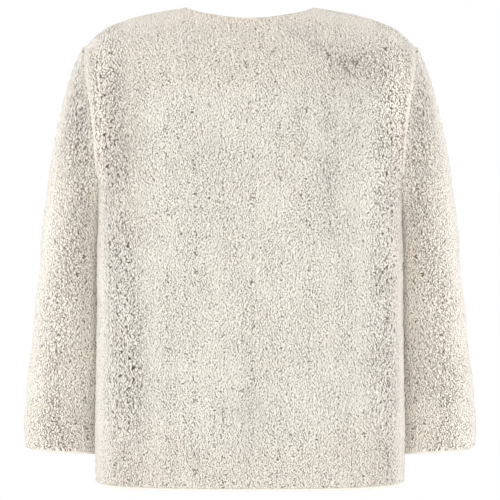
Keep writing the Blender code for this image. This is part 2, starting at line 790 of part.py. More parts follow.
def add_pull(place, collection):
    """Pull tab: a flat outline with a hole for the slider's bridge, its origin on the hinge axis."""
    outline = [
        (-PULL_HEAD_SHARE * PULL_HALF_WIDTH, PULL_HALF_THICKNESS),
        (-PULL_HALF_WIDTH, -PULL_TAPER_SHARE * PULL_LENGTH),
    ]
    for step in range(PULL_END_STEPS + 1):
        angle = math.pi + math.pi * step / PULL_END_STEPS
        outline.append((PULL_HALF_WIDTH * math.cos(angle),
                        -PULL_LENGTH + PULL_HALF_WIDTH + PULL_HALF_WIDTH * math.sin(angle)))
    outline += [
        (PULL_HALF_WIDTH, -PULL_TAPER_SHARE * PULL_LENGTH),
        (PULL_HEAD_SHARE * PULL_HALF_WIDTH, PULL_HALF_THICKNESS),
    ]
    hole = [
        (-PULL_HOLE_HALF_WIDTH, -PULL_HALF_THICKNESS),
        (PULL_HOLE_HALF_WIDTH, -PULL_HALF_THICKNESS),
        (PULL_HOLE_HALF_WIDTH, -PULL_HOLE_END),
        (-PULL_HOLE_HALF_WIDTH, -PULL_HOLE_END),
    ]
    curve = bpy.data.curves.new("zip_pull_tab", "CURVE")
    curve.dimensions = "2D"
    curve.fill_mode = "BOTH"
    curve.extrude = PULL_HALF_THICKNESS
    for corners in (outline, hole):
        spline = curve.splines.new("POLY")
        spline.points.add(len(corners) - 1)
        spline.use_cyclic_u = True
        for point, (across, up) in zip(spline.points, corners):
            point.co = (across, up, 0.0, 1.0)
    pull = add_object("zip_pull_tab", curve, "zip_metal", collection)
    pull.matrix_world = place


def main():
    """Clear the file and make every piece."""
    for old in list(bpy.data.objects):
        bpy.data.objects.remove(old, do_unlink=True)
    collection = bpy.data.collections.new("zip_up_pile_fleece_jacket")
    cutters = bpy.data.collections.new("cutters")
    for group in (collection, cutters):
        bpy.context.scene.collection.children.link(group)

    grids = {
        "back": (body_grid(1, (-1, 1)), False, -1),
        "front_left": (body_grid(-1, (1,)), False, 1),
        "front_right": (body_grid(-1, (-1,)), False, -1),
        "sleeve_left": (sleeve_grid(1), True, -1),
        "sleeve_right": (sleeve_grid(-1), True, 1),
    }
    normals = seam_normals(grids.values())
    outer = {name: panel[0] for name, panel in grids.items()}
    inner = {name: inner_grid(grid, normals) for name, grid in outer.items()}
    for name, (grid, closed, _) in grids.items():
        shifts = seam_shifts(grid, normals, closed)
        points, faces = wall_mesh(shifted(grid, shifts), shifted(inner[name], shifts), closed)
        add_solid(name, points, faces, "pile_fleece", collection)
    add_bindings(outer, inner, normals, collection)

    zip_line = [line[0] for line in inner["front_left"]][::-1]
    lengths = line_lengths(zip_line)
    foot = lengths[-1] - BOX_SIZE[2] - PANEL_FOOT
    post_foot = SLIDER_DROP - POST_FOOT
    stations = [
        (SEAM_PULL, TAPE_TOP_HALF_GAP),
        (post_foot + THROAT_DROP, TAPE_THROAT_HALF_GAP),
        (post_foot + THROAT_END_DROP, TAPE_HALF_GAP),
    ]
    stations += [(length, TAPE_HALF_GAP) for length in lengths
                 if post_foot + NEXT_STATION_DROP < length < foot]
    stations.append((foot, TAPE_HALF_GAP))
    for side, mirror in (("left", 1), ("right", -1)):
        add_tape(side, mirror, inner, outer, stations, collection)

    middle, up, outward = zip_frame(inner, outer, SLIDER_DROP)
    add_slider(frame_matrix(middle, up, outward), collection, cutters)
    axis = middle + outward * (CHAIN_HALF_SPACE + PLATE + BRIDGE_CLEAR_HEIGHT / 2)
    add_pull(frame_matrix(axis, up, outward), collection)

    middle, up, outward = zip_frame(inner, outer, foot)
    half_width, half_thickness, drop = BOX_SIZE[0] / 2, BOX_SIZE[1] / 2, BOX_SIZE[2]
    box = add_block("zip_box", (-half_width, -drop, -half_thickness),
                    (half_width, -TAPE_GAP, half_thickness), collection)
    box.matrix_world = frame_matrix(middle, up, outward)
    box.data.materials.append(plain_material("zip_teeth"))


main()
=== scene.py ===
"""Looks of the zip-up pile fleece jacket: curled pile on every panel, bindings, zip and studio.

Metres, in the CAD frame: the origin is the middle of the neck, the wearer faces -Y and the
wearer's left is +X. The photograph looks at the back, so the camera stands on the +Y side.
"""

import math

import bmesh
import bpy
import numpy as np
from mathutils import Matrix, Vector


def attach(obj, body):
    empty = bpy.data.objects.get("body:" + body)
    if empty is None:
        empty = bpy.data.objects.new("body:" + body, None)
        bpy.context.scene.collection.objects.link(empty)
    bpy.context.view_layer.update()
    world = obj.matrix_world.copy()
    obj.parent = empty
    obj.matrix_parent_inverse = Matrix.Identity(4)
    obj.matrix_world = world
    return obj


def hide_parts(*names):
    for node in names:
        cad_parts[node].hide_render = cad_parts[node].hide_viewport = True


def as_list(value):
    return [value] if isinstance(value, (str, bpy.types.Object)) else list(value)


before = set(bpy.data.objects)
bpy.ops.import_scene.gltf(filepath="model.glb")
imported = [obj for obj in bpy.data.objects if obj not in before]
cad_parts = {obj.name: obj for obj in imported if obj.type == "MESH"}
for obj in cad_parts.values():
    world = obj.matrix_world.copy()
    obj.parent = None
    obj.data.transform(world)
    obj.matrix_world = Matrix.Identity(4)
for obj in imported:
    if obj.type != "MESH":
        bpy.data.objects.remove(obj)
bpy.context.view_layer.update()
scene = bpy.context.scene

# Sizes of the cloth's form, the same as the solids have. Heights here are counted up from the hem.
LENGTH = 0.690
WALL = 0.005
FROM_HEM = (0.0, 0.0, LENGTH)     # takes heights from the hem into the frame
BASE = 0.330
BACK_POWER = 2.9
FRONT_POWER = 2.4
HEM_SIDE_LIFT = 0.003
PANEL_FOOT = 0.0050
BODY_RINGS = (
    # height, half width, back depth, front depth
    (0.000, 0.2192, 0.1180, 0.1330),
    (0.060, 0.2198, 0.1200, 0.1350),
    (0.130, 0.2192, 0.1220, 0.1380),
    (0.200, 0.2180, 0.1235, 0.1405),
    (0.270, 0.2173, 0.1245, 0.1420),
    (0.330, 0.2172, 0.1250, 0.1430),
)
NECK_HALF_WIDTH = 0.0915
NECK_BACK_DEPTH = 0.056
NECK_FRONT_DEPTH = 0.088
CROWN_RISE = 0.009
SHOULDER_LINE = (
    # distance from the middle, height
    (0.0915, 0.6900),
    (0.1300, 0.6840),
    (0.1640, 0.6768),
    (0.1980, 0.6652),
    (0.2200, 0.6525),
    (0.2390, 0.6320),
)
ARMHOLE_TOP = 0.632
ARMHOLE_FOOT = 0.420
ARMHOLE_HALF_DEPTH = 0.080
ARMHOLE_ROUNDNESS = 0.92
ARMHOLE_LINE = (
    # height, distance from the middle
    (0.420, 0.2186),
    (0.455, 0.2202),
    (0.500, 0.2225),
    (0.552, 0.2290),
    (0.594, 0.2362),
    (0.632, 0.2390),
)
NECK_STATION = 5 / 18
ARMHOLE_STATION = 9 / 18
COLUMN_COURSE = (
    # station, upward start, arrival sideways, arrival forwards, arrival upwards
    (0.000, 0.600, 0.000, 0.360, 0.100),
    (0.278, 0.600, 0.000, 0.360, 0.070),
    (0.400, 0.590, 0.030, 0.330, 0.030),
    (0.500, 0.530, 0.110, 0.240, -0.040),
    (0.560, 0.460, 0.140, 0.150, -0.010),
    (0.640, 0.360, 0.130, 0.060, 0.060),
    (0.750, 0.230, 0.080, 0.000, 0.120),
    (0.880, 0.130, 0.035, 0.000, 0.100),
    (1.000, 0.100, 0.014, 0.000, 0.055),
)
LOWER_ROWS = 6
UPPER_ROWS = 9
BACK_FOLDS = (
    # middle, spread, rise, height of the middle, spread in height
    (0.158, 0.022, -0.0030, 0.300, 0.260),
    (0.098, 0.026, 0.0022, 0.330, 0.240),
    (-0.010, 0.028, -0.0022, 0.100, 0.150),
    (-0.120, 0.026, 0.0016, 0.260, 0.220),
    (-0.162, 0.022, -0.0030, 0.300, 0.260),
)
FRONT_FOLDS = (
    (0.150, 0.024, -0.0028, 0.260, 0.240),
    (0.095, 0.026, 0.0018, 0.200, 0.220),
    (-0.105, 0.028, 0.0016, 0.240, 0.240),
    (-0.155, 0.024, -0.0028, 0.280, 0.260),
)
SLEEVE_POWER = 2.2
SLEEVE_RINGS = (
    # height, outer side, inner side, middle front to back, half depth
    (0.0475, 0.3262, 0.2195, -0.0530, 0.0415),
    (0.0800, 0.3292, 0.2165, -0.0520, 0.0470),
    (0.1300, 0.3243, 0.2158, -0.0500, 0.0525),
    (0.2000, 0.3165, 0.2155, -0.0470, 0.0600),
    (0.2700, 0.3092, 0.2155, -0.0430, 0.0670),
    (0.3300, 0.3020, 0.2158, -0.0400, 0.0720),
)
SLEEVE_COURSE = (
    # station round the armhole, start sideways, start forwards, start upwards, end downwards
    (0.000, 0.080, 0.010, -0.160, 0.260),
    (0.250, 0.090, 0.020, -0.120, 0.240),
    (0.500, 0.055, 0.040, -0.080, 0.180),
    (0.750, 0.014, 0.045, -0.080, 0.120),
    (1.000, 0.002, 0.040, -0.060, 0.090),
)
SLEEVE_FOLDS = (
    # height, spread, rise
    (0.418, 0.030, -0.0025),
    (0.356, 0.026, 0.0025),
    (0.299, 0.024, -0.0025),
    (0.253, 0.022, 0.0025),
    (0.207, 0.020, -0.0020),
    (0.152, 0.026, 0.0025),
    (0.092, 0.022, -0.0020),
)
SLEEVE_FOLD_SIDEWAYS = 0.4        # how much of a fold also shows at the sleeve's outer side
CUFF_LIFT = 0.0025
SLEEVE_UPPER_ROWS = 7
SLEEVE_LOWER_ROWS = 11
BINDING_DEPTH = 0.0047
BINDING_SKIN = 0.20
BINDING_THICKNESS = 0.0009
ZIP_HALF_GAP = 0.006
TAPE_REACH = 0.015
TAPE_THICKNESS = 0.0010
TAPE_GAP = 0.0003

# Fineness of the pile's mesh.
BODY_COLUMNS = 144        # round half a body panel
BODY_ROWS = 320
SLEEVE_COLUMNS = 240
SLEEVE_ROWS = 352
COARSE = 4                # the backing's mesh is this many times coarser
MEASURING_STEPS = 301     # rows of a surface that is only measured
FLAT_LEVELS = 240         # level lines that measure the cloth laid flat
RING_STEPS = 2001         # and points of a quarter ring
HALVINGS = 30             # to find the neckline
ZIP_COLUMNS = 24          # columns of a front that move over to make room for the zip
RELAX_ROUNDS = 180        # rounds that soften the bend beside an armhole,
RELAX_HEIGHTS = (0.34, 0.44)      # which set in over these heights
RELAX_ACROSS = (0.08, 0.13)       # and distances from the middle


# ------------ form of the cloth

def stack(*parts):
    """Points from arrays of coordinates."""
    return np.stack(np.broadcast_arrays(*parts), axis=-1)


def unit(vectors):
    return vectors / np.maximum(np.linalg.norm(vectors, axis=-1, keepdims=True), 1e-12)


def walk(points):
    """Distance of each point of a line from its first; in a grid, down each column."""
    steps = np.linalg.norm(np.diff(points, axis=0), axis=-1)
    return np.concatenate([0 * steps[:1], np.cumsum(steps, axis=0)])


def wrapped(grid, closed):
    """A grid, with its first column again after its last where it is closed."""
    return np.concatenate([grid, grid[:, :1]], axis=1) if closed else grid


def smooth_step(low, high, value):
    """From 0 at low to 1 at high, with soft ends; low may be the greater."""
    share = np.clip((value - low) / (high - low), 0, 1)
    return share * share * (3 - 2 * share)


def band(value, middle, spread):
    """1 at the middle, fading on both sides of it."""
    return np.exp(-((value - middle) / spread) ** 2)


def hermite(start, leave, end, arrive, share):
    """Cubic from start to end with the given leaving and arriving slopes."""
    squared = share * share
    cubed = squared * share
    return (start * (2 * cubed - 3 * squared + 1) + leave * (cubed - 2 * squared + share)
            + end * (3 * squared - 2 * cubed) + arrive * (cubed - squared))


def table_values(rows, place):
    """Smooth value of every further column of a table whose first column rises steadily."""
    keys, *columns = np.array(rows).T
    place = np.clip(place, keys[0], keys[-1])
    span = np.clip(np.searchsorted(keys, place, side="left") - 1, 0, len(keys) - 2)
    before = np.maximum(np.arange(len(keys)) - 1, 0)
    after = np.minimum(np.arange(len(keys)) + 1, len(keys) - 1)
    width = keys[span + 1] - keys[span]
    slopes = [(values[after] - values[before]) / (keys[after] - keys[before]) for values in columns]
    return [hermite(values[span], slope[span] * width, values[span + 1], slope[span + 1] * width,
                    (place - keys[span]) / width) for values, slope in zip(columns, slopes)]


def squared_off(value, power):
    """A sine or cosine, changed to follow a ring with squarer corners."""
    return np.sign(value) * np.abs(value) ** (2 / power)


def quarter_ring(side, angle, height):
    """Across and out on a body ring; side is 1 behind and -1 in front, for the +X half."""
    half_width, back, front = table_values(BODY_RINGS, height)
    depth, power = (back, BACK_POWER) if side > 0 else (front, FRONT_POWER)
    return half_width * squared_off(np.sin(angle), power), depth * squared_off(np.cos(angle), power)


def ring_point(side, station, height):
    """Point of a body ring; stations are evenly spaced round half of the ring at the base."""
    angles = np.linspace(0, math.pi / 2, RING_STEPS)
    lengths = walk(stack(*quarter_ring(side, angles, BASE)))
    angle = np.interp(station * lengths[-1], lengths, angles)
    across, out = quarter_ring(side, angle, height)
    return stack(across, side * out, height)


def crown_point(turn):
    angle = turn * math.pi / 2
    return stack(NECK_HALF_WIDTH * np.sin(angle), 0.0, LENGTH + CROWN_RISE * np.cos(angle) ** 2)


def shoulder_point(turn):
    line = np.array(SHOULDER_LINE)
    lengths = walk(line)
    across = np.interp(turn * lengths[-1], lengths, line[:, 0])
    return stack(across, 0.0, *table_values(SHOULDER_LINE, across))


def armhole_point(side, turn):
    """Armhole from its top (turn 0) to the underarm (turn 1), for the +X side."""
    angle = turn * math.pi
    height = ((ARMHOLE_TOP + ARMHOLE_FOOT) + (ARMHOLE_TOP - ARMHOLE_FOOT) * np.cos(angle)) / 2
    out = ARMHOLE_HALF_DEPTH * np.maximum(np.sin(angle), 0) ** ARMHOLE_ROUNDNESS
    return stack(*table_values(ARMHOLE_LINE, height), side * out, height)


def upper_edge(side, station):
    """Crown, shoulder seam and armhole, in one line from the middle to the underarm."""
    def turn(start, end):
        return np.clip((station - start) / (end - start), 0, 1)

    past_neck, past_shoulder = ((station >= place)[..., None]
                                for place in (NECK_STATION, ARMHOLE_STATION))
    shoulder = shoulder_point(turn(NECK_STATION, ARMHOLE_STATION))
    return np.where(past_shoulder, armhole_point(side, turn(ARMHOLE_STATION, 1)),
                    np.where(past_neck, shoulder, crown_point(turn(0, NECK_STATION))))


def upper_point(side, station, share):
    """Point above the last ring, on the way to the panel's upper edge."""
    upward, sideways, forwards, arrival = table_values(COLUMN_COURSE, station)
    return hermite(ring_point(side, station, np.full_like(station, BASE)), stack(0.0, 0.0, upward),
                   upper_edge(side, station), stack(sideways, -side * forwards, arrival),
                   share[..., None])


def neck_share(side, station):
    """Share of the way up at which each column meets the neckline, found by halving."""
    low = np.full_like(station, 0.4)
    high = np.ones_like(station)
    depth = NECK_BACK_DEPTH if side > 0 else NECK_FRONT_DEPTH
    for _ in range(HALVINGS):
        share = (low + high) / 2
        point = upper_point(side, station, share)
        line = depth * np.sqrt(np.maximum(1 - (point[..., 0] / NECK_HALF_WIDTH) ** 2, 0))
        outside = np.abs(point[..., 1]) > line
        low = np.where(outside, share, low)
        high = np.where(outside, high, share)
    return np.where(station >= NECK_STATION, 1.0, low)


def body_surface(side, mirror, stations, rows):
    """Outer face of half a body panel, as rows of points; mirror is 1 on the wearer's left."""
    station, row = np.meshgrid(stations, rows)
    climb = np.maximum(row - LOWER_ROWS, 0) / UPPER_ROWS
    foot = PANEL_FOOT + HEM_SIDE_LIFT * station ** 3
    height = foot + (BASE - foot) * np.minimum(row, LOWER_ROWS) / LOWER_ROWS
    shares = climb * neck_share(side, stations)[None, :]
    points = np.where((climb > 0)[..., None], upper_point(side, station, shares),
                      ring_point(side, station, height))
    points[..., 0] *= mirror
    across, _, height = np.moveaxis(points, -1, 0)
    folds = sum(rise * band(across, middle, spread) * band(height, level, reach)
                for middle, spread, rise, level, reach in (BACK_FOLDS if side > 0 else FRONT_FOLDS))
    points[..., 1] += side * folds * (1 - station ** 6) * (1 - climb ** 2)
    return points


def relaxed(points):
    """A body panel with the bend beside its armhole softened; its edges stay where they are."""
    for _ in range(RELAX_ROUNDS):
        inside = points[1:-1, 1:-1]
        share = (smooth_step(*RELAX_HEIGHTS, inside[..., 2])
                 * smooth_step(*RELAX_ACROSS, np.abs(inside[..., 0])))
        around = (points[:-2, 1:-1] + points[2:, 1:-1] + points[1:-1, :-2] + points[1:-1, 2:]) / 4
        points[1:-1, 1:-1] += share[..., None] * (around - inside)
    return points


def even_rows(surface, last, count):
    """Row numbers up to the last that space a surface's rows evenly down its columns, on average."""
    fine = np.linspace(0, last, MEASURING_STEPS)
    lengths = walk(surface(fine)).mean(axis=1)
    return np.interp(np.linspace(0, lengths[-1], count + 1), lengths, fine)


def half_panels(side, *mirrors):
    """Half a body panel for each mirror, with its rows evenly spaced."""
    stations = np.linspace(0, 1, BODY_COLUMNS + 1)
    rows = even_rows(lambda fine: body_surface(side, 1, stations[::16], fine),
                     LOWER_ROWS + UPPER_ROWS, BODY_ROWS)
    return [body_surface(side, mirror, stations, rows) for mirror in mirrors]


def back_surface():
    """The whole back, from the wearer's right side seam to the left one."""
    left, right = half_panels(1, 1, -1)
    return relaxed(np.concatenate([right[:, ::-1], left[:, 1:]], axis=1))


def front_surface(mirror):
    """One front, from the zip to its side seam."""
    points, = half_panels(-1, mirror)
    points[:, :ZIP_COLUMNS + 1, 0] = np.linspace(mirror * ZIP_HALF_GAP, points[:, ZIP_COLUMNS, 0],
                                                 ZIP_COLUMNS + 1, axis=1)
    return relaxed(points)


def sleeve_ring(station, height):
    """Point of a sleeve ring; station 0 is its outer side, 0.25 behind, 0.5 inner, 0.75 in front."""
    outer, inner, middle, half_depth = table_values(SLEEVE_RINGS, height)
    across, out = (squared_off(turned(station * 2 * math.pi), SLEEVE_POWER)
                   for turned in (np.cos, np.sin))
    return stack((outer + inner) / 2 + (outer - inner) / 2 * across, middle + half_depth * out, height)


def sleeve_rows(mirror, row_numbers):
    """Outer face of a sleeve, as rings of points at the given row numbers."""
    stations = (np.arange(SLEEVE_COLUMNS) / SLEEVE_COLUMNS + 0.5) % 1
    station, row = np.meshgrid(stations, row_numbers)
    behind = station <= 0.5
    turn = np.where(behind, station * 2, 2 - station * 2)
    share = np.minimum(row, SLEEVE_UPPER_ROWS) / SLEEVE_UPPER_ROWS
    sideways, forwards, upwards, downwards = table_values(SLEEVE_COURSE, turn)
    start = np.where(behind[..., None], armhole_point(1, turn), armhole_point(-1, turn))
    upper = hermite(start, stack(sideways, -forwards, upwards),
                    sleeve_ring(station, np.full_like(station, BASE)), stack(0.0, 0.0, -downwards),
                    share[..., None])
    below = np.clip((row - SLEEVE_UPPER_ROWS) / SLEEVE_LOWER_ROWS, 0, 1)
    lower = sleeve_ring(station, BASE + (SLEEVE_RINGS[0][0] - BASE) * below)
    outward, backward = np.cos(station * 2 * math.pi), np.sin(station * 2 * math.pi)
    lower[..., 2] += CUFF_LIFT * outward * below ** 4
    points = np.where((row > SLEEVE_UPPER_ROWS)[..., None], lower, upper)
    folds = sum(rise * band(points[..., 2], level, spread) for level, spread, rise in SLEEVE_FOLDS)
    folds *= np.minimum(row / 2, 1)
    points[..., 1] += folds * backward
    points[..., 0] += SLEEVE_FOLD_SIDEWAYS * folds * np.maximum(outward, 0)
    points[..., 0] *= mirror
    return points


def sleeve_surface(mirror):
    """Outer face of a sleeve, from the armhole down to the cuff."""
    return sleeve_rows(mirror, even_rows(lambda fine: sleeve_rows(mirror, fine)[:, ::12],
                                         SLEEVE_UPPER_ROWS + SLEEVE_LOWER_ROWS, SLEEVE_ROWS))


def outward_normals(surface, closed):
    """Unit normals of a panel, facing out from the middle of its body or sleeve."""
    along = np.gradient(surface, axis=0)
    if closed:
        across = (np.roll(surface, -1, axis=1) - np.roll(surface, 1, axis=1)) / 2
        middle = surface.mean(axis=1, keepdims=True)
    else:
        across = np.gradient(surface, axis=1)
        middle = (0, 0, LENGTH / 2)
    normals = unit(np.cross(across, along))
    return normals * np.sign(((surface - middle) * normals)[..., :2].sum())


# ------------ noise for the pile

def hashed(cells, seed):
    """Numbers from 0 to 1 that depend only on whole-number cells and a seed."""
    mixed = (cells[..., 0] * 73856093) ^ (cells[..., 1] * 19349663) ^ (cells[..., 2] * 83492791)
    mixed = (mixed + seed * 374761393) & 0xFFFFFFFF
    mixed = ((mixed ^ (mixed >> 13)) * 1274126177) & 0xFFFFFFFF
    mixed = ((mixed ^ (mixed >> 15)) * 668265263) & 0xFFFFFFFF
    return ((mixed ^ (mixed >> 16)) & 0xFFFFFF) / 0xFFFFFF


def soft_noise(points, seed):
    """Smooth noise from -1 to 1, one unit from bump to bump."""
    cells = np.floor(points).astype(np.int64)
    part = points - cells
    part = part * part * part * (part * (part * 6 - 15) + 10)
    total = np.zeros(points.shape[:-1])
    for corner in np.ndindex(2, 2, 2):
        weight = np.prod(np.where(corner, part, 1 - part), axis=-1)
        total += weight * hashed(cells + corner, seed)
    return total * 2 - 1


def clumps(points, seed):
    """Distances to the nearest two of scattered clump centres, and the way between them."""
    around = np.array(list(np.ndindex(3, 3, 3)))[:, None, None] - 1
    cells = np.floor(points).astype(np.int64) + around
    centres = cells + 0.15 + 0.7 * stack(*[hashed(cells, seed + axis) for axis in (1, 2, 3)])
    distances = np.linalg.norm(points - centres, axis=-1)
    order = np.argsort(distances, axis=0)[:2]
    first, second = np.take_along_axis(distances, order, axis=0)
    nearest, next_one = np.take_along_axis(centres, order[..., None], axis=0)
    return first, second, unit(next_one - nearest)


# ------------ pile

CLUMP = 0.0052            # from one curl of pile to the next
NAP = 1.70                # curls are this much longer down the garment than across
WARP = 0.0040             # how far the curls' rows wander
WANDERS = ((0.028, 1.0, 11), (0.095, 2.5, 21))    # size, weight and seed of the wandering
CRACK = 0.0008            # depth of a parting between curls at its deepest
DOME = 0.0003             # roundness of a curl
CURL = 0.00006            # fine unevenness
TUFT = 0.0013             # tufts that stand up where the pile is seen edge on
TUFT_SIZE = (0.0045, 0.0045, 0.0060)
PILE_LIFT = 0.0012        # the pile stands this far out from the solid before its partings
SIDE_LIFT = 0.0022        # and this much farther where panels turn away beside their neighbours
# Spans over which the looks of the pile change. How far the cloth faces sideways:
SIDE_LIFTED = (0.55, 0.95)        # the pile stands higher,
SIDE_FLATTER = (0.62, 0.92)       # its partings are less deep
SIDE_PALER = (0.82, 0.97)         # and their painted shade is lighter
SHOULDER = (0.40, 0.46)           # heights over which a body panel stops counting as turned
# And distances from a seam:
SEAM_CLOSING = (0.009, 0.003)     # partings close up,
BODY_ROLL = (0.016, 0.003)        # the cloth rolls over into a body seam, with a painted highlight along it,
SLEEVE_SEAM_SHADOW_REACH = (0.011, 0.002)      # and a sleeve gets painted shadow beside its seam, under the body's pile
SLEEVE_SEAM_PAINTED_SHADOW = 0.14


def pile_height(points, deep, turned):
    """Height of the pile over the plain form; turned is how far the cloth faces up or sideways."""
    place = points / (1.0, 1.0, NAP)
    wander = stack(*[sum(weight * soft_noise(place / size, seed + axis)
                         for size, weight, seed in WANDERS) for axis in (0, 1, 2)])
    place = place + wander * WARP * (1.0, 0.5, 0.6)
    first, second, way = clumps(place / CLUMP, 31)
    edge = 1 - smooth_step(0.03, 0.30, second - first)
    lying = 1 - smooth_step(0.45, 0.85, np.abs(way[..., 2]))
    open_here = smooth_step(0.42, 0.60, soft_noise(place / (CLUMP * 0.9), 41) * 0.5 + 0.5)
    parting = edge * lying * open_here * smooth_step(0.30, 0.95, deep)
    fine = soft_noise(place / 0.0042, 51) + 0.5 * soft_noise(place / 0.0025, 61)
    tufts = smooth_step(-0.1, 0.7, soft_noise(points / TUFT_SIZE, 81))
    return (CURL * fine * (0.5 + 0.5 * deep) + TUFT * tufts * smooth_step(0.55, 0.95, turned)
            - CRACK * parting - DOME * deep * first ** 2)


# Soft patches, here and below: distance across and height of the middle, sideways drift per metre
# down, half width, half height and strength. These stand more open on the back.
BACK_OPENINGS = (
    (-0.110, -0.230, 0.00, 0.016, 0.120, 0.280),
    (-0.160, -0.085, 0.00, 0.030, 0.026, 0.450),
    (-0.102, -0.064, -1.34, 0.022, 0.045, 0.320),
)
OPEN_LINE = 0.2030        # distance from the middle at which partings are widest, at OPEN_TOP
OPEN_INWARD = (0.027, 0.012)      # and how far that line moves in below, on the left and right
OPEN_TOP = -0.127
OPEN_REACH = 0.32


def patches(rows, across, height):
    return sum(strength * band(across + drift * (height - level), middle, wide)
               * band(height, level, tall) for middle, level, drift, wide, tall, strength in rows)


def body_depth(points, side):
    """How open the partings are over a body panel: widest just inside the side seams."""
    across, height = points[..., 0], points[..., 2]
    line = OPEN_LINE - (np.clip((OPEN_TOP - height) / OPEN_REACH, 0, 1)
                        * np.where(across > 0, *OPEN_INWARD))
    deep = 0.30 + (0.86 * band(np.abs(across), line, 0.022)
                   * (1 - 0.6 * smooth_step(-0.570, -0.640, height)))
    if side > 0:
        deep += patches(BACK_OPENINGS, across, height)
    return np.clip(deep + 0.12 * soft_noise(points / 0.070, 71), 0.1, 1.2)


def sleeve_depth(points):
    edge, height = np.abs(points[..., 0]), points[..., 2]
    middle = 0.240 + 0.045 * smooth_step(-0.250, -0.480, height)
    deep = 0.40 + (0.30 + 0.30 * band(height, -0.160, 0.080)) * band(edge, middle, 0.022)
    return np.clip(deep + 0.14 * soft_noise(points / 0.060, 72), 0.1, 1.1)


def busyness(points, closed):
    """How many short fine partings there are, from place to place: more on the sleeves."""
    uneven = 0.10 * soft_noise(points / (0.022, 0.022, 0.040), 91)
    edge, height = np.abs(points[..., 0]), points[..., 2]
    if closed:
        return uneven + 0.13 + 0.05 * band(edge, 0.245, 0.03)
    return uneven + 0.10 * smooth_step(-0.160, -0.080, height) - 0.03 * band(edge, 0.19, 0.03)


# Soft painted light and shade over the pile: lighter strips where the sides and shoulders face the
# lamps, darker streaks along folds.
BACK_SHADES = (
    (0.216, -0.250, 0.00, 0.012, 0.200, 0.260),
    (-0.216, -0.300, 0.00, 0.012, 0.220, 0.240),
    (0.000, -0.140, 0.00, 0.190, 0.060, 0.010),
    (0.198, -0.072, 0.00, 0.030, 0.034, 0.150),
    (0.215, -0.150, 0.00, 0.012, 0.090, 0.140),
    (-0.203, -0.125, 0.00, 0.017, 0.060, 0.330),
    (0.000, -0.016, 0.00, 0.140, 0.014, 0.140),
    (0.200, -0.040, 0.00, 0.034, 0.034, 0.110),
    (0.190, -0.570, 0.00, 0.022, 0.080, 0.070),
    (0.125, -0.230, 0.00, 0.028, 0.200, 0.060),
    (-0.130, -0.130, 0.00, 0.022, 0.060, -0.070),
    (-0.072, -0.150, 0.00, 0.020, 0.050, -0.060),
    (-0.170, -0.080, 0.00, 0.022, 0.026, -0.020),
    (-0.190, -0.200, 0.00, 0.022, 0.120, 0.060),
    (-0.080, -0.045, 0.80, 0.030, 0.040, -0.050),
    (0.000, -0.580, 0.00, 0.020, 0.080, -0.090),
    (-0.050, -0.420, 0.00, 0.026, 0.150, 0.015),
    (0.080, -0.580, 0.00, 0.040, 0.040, 0.020),
    (0.174, -0.480, 0.00, 0.014, 0.160, 0.060),
    (-0.173, -0.340, 0.00, 0.016, 0.260, 0.100),
    (-0.205, -0.480, 0.00, 0.016, 0.120, -0.020),
)
FRONT_SHADES = (
    (0.090, -0.300, 0.10, 0.030, 0.200, 0.030),
    (-0.110, -0.220, -0.10, 0.026, 0.180, 0.025),
    (0.150, -0.420, 0.00, 0.020, 0.160, -0.050),
    (-0.165, -0.360, 0.00, 0.018, 0.200, -0.050),
    (-0.060, -0.520, 0.00, 0.030, 0.100, -0.030),
)
# The same down a sleeve, with distances out from its inner side.
SLEEVE_SHADES = (
    (0.085, -0.420, 0.00, 0.035, 0.220, 0.130),
    (0.022, -0.320, 0.00, 0.022, 0.230, -0.085),
    (0.042, -0.560, 0.00, 0.028, 0.090, -0.080),
    (0.020, -0.150, 0.00, 0.022, 0.045, -0.120),
    (0.022, -0.230, 0.00, 0.022, 0.024, -0.060),
    (0.022, -0.293, 0.00, 0.022, 0.024, -0.080),
    (0.024, -0.350, 0.00, 0.026, 0.020, 0.030),
    (0.022, -0.408, 0.00, 0.022, 0.024, -0.040),
    (0.018, -0.560, 0.00, 0.020, 0.030, 0.030),
    (0.060, -0.450, 0.00, 0.020, 0.030, 0.020),
    (0.030, -0.630, 0.00, 0.030, 0.016, -0.050),
)


def body_tone(points, side):
    """Painted light and shade, and warmth of colour, over a body panel."""
    across, height = points[..., 0], points[..., 2]
    painted_shading = 1 + patches(BACK_SHADES if side > 0 else FRONT_SHADES, across, height)
    warm = smooth_step(-0.150, -0.090, height) + 0.6 * smooth_step(-0.045, -0.020, height)
    for place in (smooth_step(0.130, 0.170, across) * smooth_step(-0.380, -0.280, height),
                  smooth_step(0.070, 0.130, np.abs(across)) * smooth_step(-0.570, -0.620, height),
                  0.7 * smooth_step(-0.620, -0.645, height), smooth_step(-0.185, -0.215, across)):
        warm = np.maximum(warm, place)
    return painted_shading, warm + 0.25 * soft_noise(points / 0.030, 91)


# Painted light and shade down a sleeve, lighter overall and darker near the body where it lies in shade,
# and warmth of colour.
def sleeve_tone(points):
    out, height = np.abs(points[..., 0]) - 0.218, points[..., 2]
    painted_shading = 1.17 + patches(SLEEVE_SHADES, out, height)
    warm = 1 - 0.6 * smooth_step(0.060, 0.095, out + 0.15 * height + 0.05)
    return painted_shading, warm + 0.25 * soft_noise(points / 0.030, 92)


def grid_quads(numbers, closed):
    """Quads of a grid of vertex numbers."""
    grid = wrapped(numbers, closed)
    corners = grid[:-1, :-1], grid[:-1, 1:], grid[1:, 1:], grid[1:, :-1]
    return np.stack(corners, axis=-1).reshape(-1, 4)


def placed(name, data):
    thing = bpy.data.objects.new(name, data)
    scene.collection.objects.link(thing)
    return thing


def mesh_object(name, points, faces, smooth=True):
    """A mesh object in the CAD frame from points counted from the hem."""
    mesh = bpy.data.meshes.new(name)
    mesh.from_pydata((np.asarray(points) - FROM_HEM).tolist(), [], [tuple(face) for face in faces])
    build = bmesh.new()
    build.from_mesh(mesh)
    bmesh.ops.recalc_face_normals(build, faces=build.faces)
    build.to_mesh(mesh)
    build.free()
    if smooth:
        mesh.shade_smooth()
    return placed(name, mesh)


